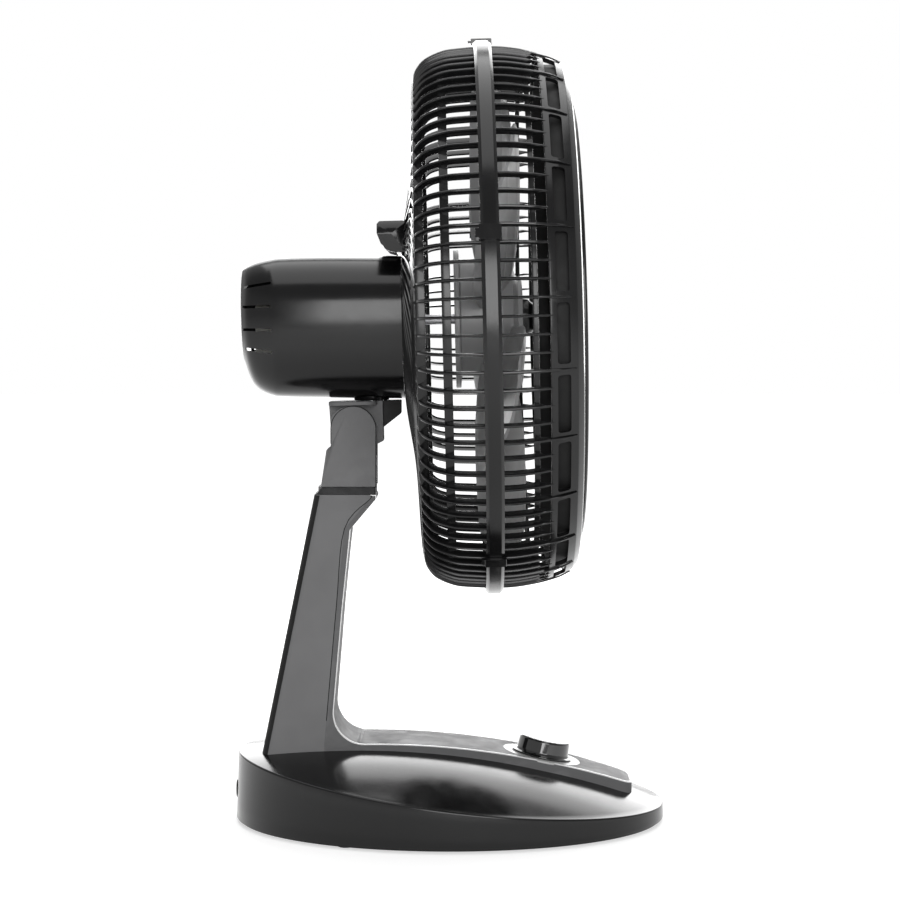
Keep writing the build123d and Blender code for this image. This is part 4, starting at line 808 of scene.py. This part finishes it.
def front_rib(line, narrowing, thinning):
    """A front rib whose width and depth shrink towards its tip by these shares."""
    path = side_path(line)
    sizes = []
    for place, _, _ in path:
        t = max(0.0, (place.x - RIB_TAPER_FROM) / (line[0][0] - RIB_TAPER_FROM))
        sizes.append((1 - narrowing * t**2, 1 - thinning * min(t * DEPTH_LEAD, 1.0)))
    return swept(path, rib_outline(RIB_DEPTH), sizes)


def windowed_band():
    """The smooth band and rolled lip at the front, cut through by a row of windows."""
    piece = make_object("band", turned(rounded(BAND, 1.2, 3), FINE_STEPS), HEAD, CRISP_ANGLE)
    start, end = WINDOW_SPAN
    length = 2 * BAND[2][1] * sin(radians(WINDOW_ANGLE / 2))
    outline = rounded([(start, -length / 2), (end, -length / 2), (end, length / 2), (start, length / 2)],
                      WINDOW_CORNER)
    cutter = lofted([[(u, y, z) for u, y in outline] for z in WINDOW_CUT])
    carve(piece, make_object("window_cut", spun(cutter, WINDOW_COUNT, 180.0 / WINDOW_COUNT), HEAD))
    piece.data.shade_smooth()
    piece.data.set_sharp_from_angle(angle=radians(CRISP_ANGLE))
    # a near-black hoop behind the windows, as painted shade seen through them
    settle(make_object("band_shade_hoop", hoop(*BAND_SHADE_HOOP), HEAD), SEAM_AND_SHADE, "head", "black_plastic")
    settle(piece, BLACK_RIB, "head", "black_plastic")


def slanted_bar():
    """A thin straight bar of the front face that passes beside the axis."""
    start = sqrt((CENTRE_RADIUS - 1) ** 2 - BAR_SLANT**2)
    end = sqrt((RIM[0][1] + 1) ** 2 - BAR_SLANT**2)
    path = []
    for k in range(BAR_STEPS + 1):
        place = Vector((BAR_U[0], BAR_SLANT, start + (end - start) * (k / BAR_STEPS)))
        path.append((place, Vector((0, 1, 0)), Vector((1, 0, 0))))
    return swept(path, BAR_LINE)


def front_cage():
    """The front half: short and long ribs, hoops, flange, rim, bars and the centre plate."""
    step = 360.0 / RIB_COUNT
    groups = RIB_COUNT // LONG_RIB_EVERY
    short = front_rib(SHORT_LINE, *SHORT_RIB_TAPER)
    shapes = [spun(short, groups, k * step) for k in range(1, LONG_RIB_EVERY)]
    shapes.append(spun(front_rib(LONG_LINE, *LONG_RIB_TAPER), groups))
    shapes.append(hoop(*FLANGE))
    shapes.append(hoop(*FRONT_HOOP))
    shapes.append(turned(rounded(RIM, 0.9)))
    shapes.append(spun(slanted_bar(), SPOKE_COUNT))
    shapes.append(hoop(*MID_HOOP))
    back, front = BAR_U
    plate = [(back, CENTRE_HOLE_RADIUS), (front, CENTRE_HOLE_RADIUS), (front, CENTRE_RADIUS),
             (back, CENTRE_RADIUS)]
    shapes.append(turned(rounded(plate, 0.6, 3)))
    path = [(Vector((SPOKE_U, 0, r)), Vector((0, 1, 0)), Vector((1, 0, 0))) for r in SPOKE_RADII]
    shapes.append(spun(swept(path, SPOKE_LINE), SPOKE_COUNT))
    piece = make_object("front_cage", joined(shapes), HEAD)
    settle(piece, BLACK_RIB, "head", "black_plastic", "front_grille")


def clamp_hoop():
    """The ring that holds the two halves of the cage together."""
    piece = make_object("clamp_hoop", turned(rounded(RING_LINE), FINE_STEPS), HEAD, CRISP_ANGLE)
    settle(piece, BLACK, "head", "black_plastic", "clamp_ring")


def clamp_clips():
    """The clips that snap over the clamp ring, each with a tab at its rear."""
    outer = RING_LINE[2][1]
    low, high = outer - CLIP_HOOK, outer + CLIP_RISE
    wide, inside = CLIP_HALF_WIDTH, CLIP_HALF_WIDTH - CLIP_WALL
    line = [(-wide, low, 0.3), (-wide, high, 0.8), (wide, high, 0.8), (wide, low, 0.3), (inside, low, 0.2),
            (inside, outer - 1.6, 0.2), (4.6, outer + 0.2, 0.2), (-4.6, outer + 0.2, 0.2),
            (-inside, outer - 1.6, 0.2), (-inside, low, 0.2)]
    section = rounded(line, steps=3)
    saddle = lofted([[(u, y, r) for u, r in section] for y in (-CLIP_HALF_LENGTH, CLIP_HALF_LENGTH)])
    reach, half = CLIP_TAB
    bottom, top = (outer + height for height in CLIP_TAB_HEIGHTS)
    tab = boxed((-wide - reach, -half, bottom), (1.0 - wide, half, top))
    piece = make_object("clamp_clips", spun(joined([saddle, tab]), CLIP_COUNT, CLIP_FIRST), HEAD)
    bevel(piece, 0.35, 2)
    settle(piece, BLACK, "head", "black_plastic", "ring_clips")


# ---- grip ----
def grip_end(z):
    """How far the grip reaches sideways at a height: rounded over the top, drawn in slightly below."""
    over = z - GRIP_RIDGE[1]
    return GRIP_HALF_LENGTH - (GRIP_END_CURVE * over**2 if over > 0 else -GRIP_END_LEAN * over)


def grip():
    """The carrying grip on the rear of the cage, open underneath for the fingers."""
    outline = rounded(GRIP_OUTLINE, steps=5)
    u_mid, z_mid = GRIP_RIDGE
    rings = []
    shares = [0.02, 0.4, 0.7, 0.9, 1]
    sections = [(share, -1) for share in shares] + [(1, -0.96), (1, 0), (1, 0.96)]
    sections += [(share, 1) for share in reversed(shares)]
    for share, reach in sections:
        shrunk = [(u_mid + (u - u_mid) * share, z_mid + (z - z_mid) * share) for u, z in outline]
        rings.append([(u, reach * grip_end(z), z) for u, z in shrunk])
    piece = make_object("carrying_grip", lofted(rings), HEAD, CRISP_ANGLE)
    carve(piece, make_object("grip_cut", boxed(*GRIP_ROOM), HEAD))
    bevel(piece, 0.9, 4)
    settle(piece, BLACK, "head", "black_plastic", "handle")


# ---- column and neck ----
def fine_seam(name, line, side_at):
    """A dark seam drawn along an (x, z) line on both sides, where side_at(z) is the half width."""
    half = SEAM_WIDTH / 2
    proud, deep = SEAM_SKIN
    outline = [(-half, -deep), (half, -deep), (half, proud), (-half, proud)]
    strips = []
    for way in (1, -1):
        path = []
        for k, (x, z) in enumerate(line):
            before, after = line[max(k - 1, 0)], line[min(k + 1, len(line) - 1)]
            run = Vector((after[0] - before[0], 0, after[1] - before[1])).normalized()
            out = Vector((0, way, 0))
            path.append((Vector((x, way * side_at(z), z)), run.cross(out), out))
        strips.append(swept(path, outline))
    piece = make_object(name, joined(strips), ROW)
    settle(piece, SEAM_AND_SHADE, "base", "black_plastic")


def column_side(z):
    """The column's half width at a height."""
    return COLUMN_TOP_HALF_WIDTH + COLUMN_SPREAD * (COLUMN_TOP - z)


def column_edge_shade_bands():
    """Near-black bands that run down the column's two rounded rear edges: painted shade on the rounding."""
    start, end = EDGE_BAND_ANGLES
    angles = [radians(start + (end - start) * k / EDGE_BAND_STEPS) for k in range(EDGE_BAND_STEPS + 1)]
    outer, inner = COLUMN_REAR_ROUNDING + EDGE_BAND_SKIN[0], COLUMN_REAR_ROUNDING - EDGE_BAND_SKIN[1]
    outline = [(outer * cos(a), outer * sin(a)) for a in angles]
    outline += [(inner * cos(a), inner * sin(a)) for a in reversed(angles)]
    bands = []
    for way in (1, -1):
        path = []
        for z in EDGE_BAND_HEIGHTS:
            x = COLUMN_REAR_TOP - COLUMN_REAR_LEAN * (COLUMN_TOP - z) + COLUMN_REAR_ROUNDING
            place = Vector((x, way * (column_side(z) - COLUMN_REAR_ROUNDING), z))
            path.append((place, Vector((-1, 0, 0)), Vector((0, way, 0))))
        bands.append(swept(path, outline))
    # the bands' near-black is painted shade on the column's rounded edges
    settle(make_object("column_edge_shade_bands", joined(bands), ROW), SEAM_AND_SHADE, "base", "black_plastic")


def neck_and_column():
    """The column's seams, the neck with its flat rear edge and the collar between them, coloured near-black
    as painted shade.
    """
    fine_seam("column_seam", [tuple(p) for p in smooth_line(SEAM_LINE, 5)], column_side)
    column_edge_shade_bands()
    x, z, radius = NECK_HEAD
    arc = [(x + radius * cos(radians(a)), z + radius * sin(radians(a))) for a in range(0, 181, 6)]
    front, rear = NECK_SEAM_DROPS
    fine_seam("neck_seam", [(x + radius, z - front), *arc, (x - radius, z - rear)], lambda _: NECK_HALF_WIDTH)
    neck = softened("neck_column", GRAPHITE, "base", "graphite_plastic", 0.6)
    carve(neck, make_object("neck_cut", boxed(*NECK_CUT), ROW))
    rings = []
    for low, high, z in (NECK_COLLAR_LOW, NECK_COLLAR_HIGH):
        (back, right), (front, left) = low, high
        corners = [(back, right, 5.0), (front, right, 2.0), (front, left, 2.0), (back, left, 5.0)]
        rings.append([(x, y, z) for x, y in rounded(corners, steps=5)])
    # the collar's near-black colour is painted shade at the neck's foot
    settle(make_object("neck_collar", lofted(rings), ROW, CRISP_ANGLE), COLLAR_SHADE, "base", "graphite_plastic")


# ---- rotor ----
def station_at(radius):
    """The blade's chord, pitch, lag and camber at a radius."""
    stations = BLADE_STATIONS
    k = max(i for i in range(len(stations) - 1) if stations[i][0] <= radius)
    (a, *first), (b, *second) = stations[k], stations[k + 1]
    t = (radius - a) / (b - a)
    return [p + (q - p) * t for p, q in zip(first, second)]


def ridge(share):
    """How far the blade's surface rises at a share of its chord."""
    return sum(max(0.0, 1 - abs(share - place) / RIDGE_HALF_WIDTH) for place in BLADE_RIDGES) * RIDGE_HEIGHT


def blade_ring(radius):
    """The blade's section at a radius, with its rounded tip."""
    chord, pitch, lag, camber = station_at(radius)
    over = max(0.0, radius - BLADE_TIP + BLADE_TIP_ROUNDING) / BLADE_TIP_ROUNDING
    chord -= 2 * BLADE_TIP_ROUNDING * (1 - sqrt(max(0.0, 1 - over**2)))
    slope = radians(pitch)
    shares = sorted({round(-0.5 + k / BLADE_STEPS, 4) for k in range(BLADE_STEPS + 1)}
                    | {p + d for p in BLADE_RIDGES for d in (-RIDGE_HALF_WIDTH, 0.0, RIDGE_HALF_WIDTH)})
    loop = [(s, 1) for s in shares] + [(s, -1) for s in reversed(shares)]
    line = []
    for share, side in loop:
        thin = BLADE_THICKNESS / 2 * sqrt(max(0.0, 1 - (2 * abs(share)) ** 12)) + 0.05
        rise = camber * (1 - (2 * share) ** 2) + side * thin + (ridge(share) if side > 0 else 0.0)
        u = BLADE_MIDDLE + sin(slope) * chord * share + cos(slope) * rise
        y = lag + cos(slope) * chord * share - sin(slope) * rise
        line.append((u, y, sqrt(radius**2 - min(abs(y), radius * 0.98) ** 2)))
    return line


def fan_rotor():
    """The blades and their hub."""
    reach = BLADE_TIP - BLADE_TIP_ROUNDING - BLADE_ROOT
    radii = [BLADE_ROOT + reach * k / BLADE_ROWS for k in range(BLADE_ROWS + 1)]
    for k in range(1, TIP_ROWS + 1):
        radii.append(BLADE_TIP - BLADE_TIP_ROUNDING * (1 - sin(pi / 2 * k / TIP_ROWS)))
    blades = spun(lofted([blade_ring(r) for r in radii]), BLADE_COUNT)
    hub = turned(rounded(HUB_LINE, 0.5, 3), SMALL_STEPS)
    piece = make_object("fan_rotor", joined([blades, hub]), HEAD, CRISP_ANGLE)
    settle(piece, BLADE, "rotor", "blade_plastic", "fan_blade")


# ---- knob and dial ----
def knob():
    """The speed knob, and the cap on it with its mark."""
    piece = make_object("knob_body", turned(rounded(KNOB_LINE, 0.2), SMALL_STEPS), DIAL)
    settle(piece, GLOSS, "knob", "gloss_black", "speed_knob")
    cap = make_object("knob_top", turned(rounded(CAP_LINE, 0.01, 3), SMALL_STEPS), DIAL)
    carve(cap, make_object("mark_cut", boxed(MARK_LOW, MARK_HIGH), DIAL))
    settle(cap, CAP, "knob", "light_plastic", "knob_cap")


# ---- nodes that keep their own form ----
def mould_nodes():
    """The outer nodes that need only softer edges and a material."""
    # the darker graphite copy is painted shade on the strip
    softened("control_strip", GRAPHITE_STRIP_SHADED, "base", "graphite_plastic", 0.55)
    softened("lower_column", GRAPHITE, "base", "graphite_plastic", 0.6)
    softened("bottom_plate", BLACK, "base", "black_plastic", 0.4)
    softened("rubber_feet", RUBBER, "base", "rubber", 0.4)
    softened("dial_plate", LIGHT, "base", "light_plastic", 0.35)
    softened("tilt_bracket", GRAPHITE, "tilt_arm", "graphite_plastic", 0.6)
    softened("bracket_nose", SEAM_AND_SHADE, "tilt_arm", "black_plastic", 0.7)
    softened("centre_badge", BLACK, "head", "light_plastic", 0.3)
    softened("grille_nut", BLACK, "head", "black_plastic", 0.7)
    softened("blade_nut", BLACK, "rotor", "black_plastic", 0.6)


KEPT_MATERIALS = {
    # the trim's light grey is a painted highlight
    "strip_trim": TRIM_HIGHLIGHT,
    "base_screws": SCREW, "neck_screws": SCREW, "ballast_weight": IRON, "run_capacitor": NYLON,
    "speed_switch": BAKELITE, "switch_shaft": NYLON, "tilt_pin": STEEL, "tilt_washers": STEEL,
    "swing_post": STEEL, "front_plate": BLACK, "rear_frame": BLACK, "shaft_bearings": BRASS,
    "stator_core": LAMINATED, "stator_coils": WINDING, "gearbox": NYLON, "crank_arm": STEEL,
    "motor_shaft": STEEL, "rotor_core": LAMINATED,
}


def finish_kept_nodes():
    """Materials for the trim and the pieces inside, which are shown as they were packed."""
    for node, material in KEPT_MATERIALS.items():
        mesh = frame["nodes"][node].data
        mesh.materials.clear()
        mesh.materials.append(material)


# ---- studio ----
def seen_background(tree):
    """1 for rays that show the background itself, 0 for those that only light the object."""
    path = add_node(tree, "LightPath")
    first = add_node(tree, "Math", {0: path.outputs["Is Camera Ray"], 1: path.outputs["Is Glossy Ray"]},
                     operation="MAXIMUM")
    return add_node(tree, "Math", {0: first.outputs[0], 1: path.outputs["Is Transmission Ray"]},
                    operation="MAXIMUM").outputs[0]


def studio_world():
    """White all round to the camera; reflected, it is a white backdrop that greys upwards and forwards."""
    world = bpy.data.worlds.new("studio")
    world.use_nodes = True
    tree = world.node_tree
    tree.nodes.clear()
    direction = add_node(tree, "SeparateXYZ", {0: add_node(tree, "TexCoord").outputs["Generated"]})
    upwards = ranged(tree, direction.outputs["Z"], *WORLD_UPWARDS, interpolation_type="SMOOTHSTEP")
    backwards = ranged(tree, direction.outputs["Y"], *WORLD_BACKWARDS, interpolation_type="SMOOTHSTEP")
    level = add_node(tree, "Math", {0: upwards, 1: backwards}, operation="MULTIPLY")
    camera_ray = add_node(tree, "LightPath").outputs["Is Camera Ray"]
    seen = add_node(tree, "Math", {0: camera_ray, 1: level.outputs[0]}, operation="MAXIMUM")
    shown = add_node(tree, "Background", {"Color": (1, 1, 1, 1), "Strength": seen.outputs[0]})
    light = add_node(tree, "Background", {"Color": (1, 1, 1, 1), "Strength": ROOM_LIGHT})
    both = add_node(tree, "MixShader", {0: seen_background(tree), 1: light.outputs[0], 2: shown.outputs[0]})
    output = add_node(tree, "OutputWorld")
    tree.links.new(both.outputs[0], output.inputs["Surface"])
    bpy.context.scene.world = world


def studio_floor():
    """A pale floor that keeps the object's shadow and fades into the white background."""
    material, tree, shader = new_material("floor_paper")
    where = add_node(tree, "TexCoord").outputs["Object"]
    tone = ranged(tree, noise(tree, where, 300.0, 2.0), 0.3, 0.7, 0.0, 1.0)
    set_inputs(tree, shader, {"Base Color": blended(tree, tone, *FLOOR_GREYS), "Roughness": 0.9,
                              "Specular IOR Level": 0.0})
    distance = add_node(tree, "VectorMath", {0: where}, operation="LENGTH").outputs["Value"]
    level = ranged(tree, distance, *FLOOR_GLOW)
    glow = add_node(tree, "Emission", {"Color": (1, 1, 1, 1), "Strength": level})
    lit = add_node(tree, "AddShader", {0: shader.outputs[0], 1: glow.outputs[0]})
    both = add_node(tree, "MixShader", {0: seen_background(tree), 1: shader.outputs[0], 2: lit.outputs[0]})
    tree.links.new(both.outputs[0], tree.nodes["Material Output"].inputs["Surface"])
    mesh = bpy.data.meshes.new("floor")
    work = bmesh.new()
    bmesh.ops.create_grid(work, x_segments=8, y_segments=8, size=FLOOR_HALF_SIZE)
    bmesh.ops.translate(work, verts=work.verts, vec=(0, 0, FLOOR_Z))
    work.to_mesh(mesh)
    work.free()
    mesh.materials.append(material)
    floor = add_object("floor", mesh)


def softbox(name, place, aim, width, height, radiance):
    """A rectangular lamp facing a point, as bright all over as radiance says."""
    data = bpy.data.lights.new(name, "AREA")
    data.shape = "RECTANGLE"
    data.size = width
    data.size_y = height
    data.energy = radiance * pi * width * height
    lamp = add_object(name, data)
    lamp.location = place
    lamp.rotation_mode = "QUATERNION"
    lamp.rotation_quaternion = (Vector(aim) - Vector(place)).to_track_quat("-Z", "Y")
    lamp.visible_camera = False


def studio():
    """The world, the floor, the lamps and the photograph's camera."""
    studio_world()
    studio_floor()
    for lamp in LAMPS:
        softbox(*lamp)
    camera = add_object("camera", bpy.data.cameras.new("camera"))
    camera.location = (0, -CAMERA_DISTANCE, CAMERA_HEIGHT)
    camera.rotation_euler = (radians(90 - CAMERA_PITCH), 0, 0)
    camera.data.lens = CAMERA_LENS
    camera.data.shift_y = CAMERA_SHIFT
    camera.data.sensor_width = 36.0
    camera.data.clip_start = 0.05
    camera.data.clip_end = 60.0
    bpy.context.scene.camera = camera
    bpy.context.scene.view_settings.view_transform = "Standard"


base_body()
cord_inlet()
motor_housing()
swing_collar()
rear_cage()
front_cage()
windowed_band()
clamp_hoop()
clamp_clips()
grip()
neck_and_column()
fan_rotor()
knob()
mould_nodes()
finish_kept_nodes()
studio()
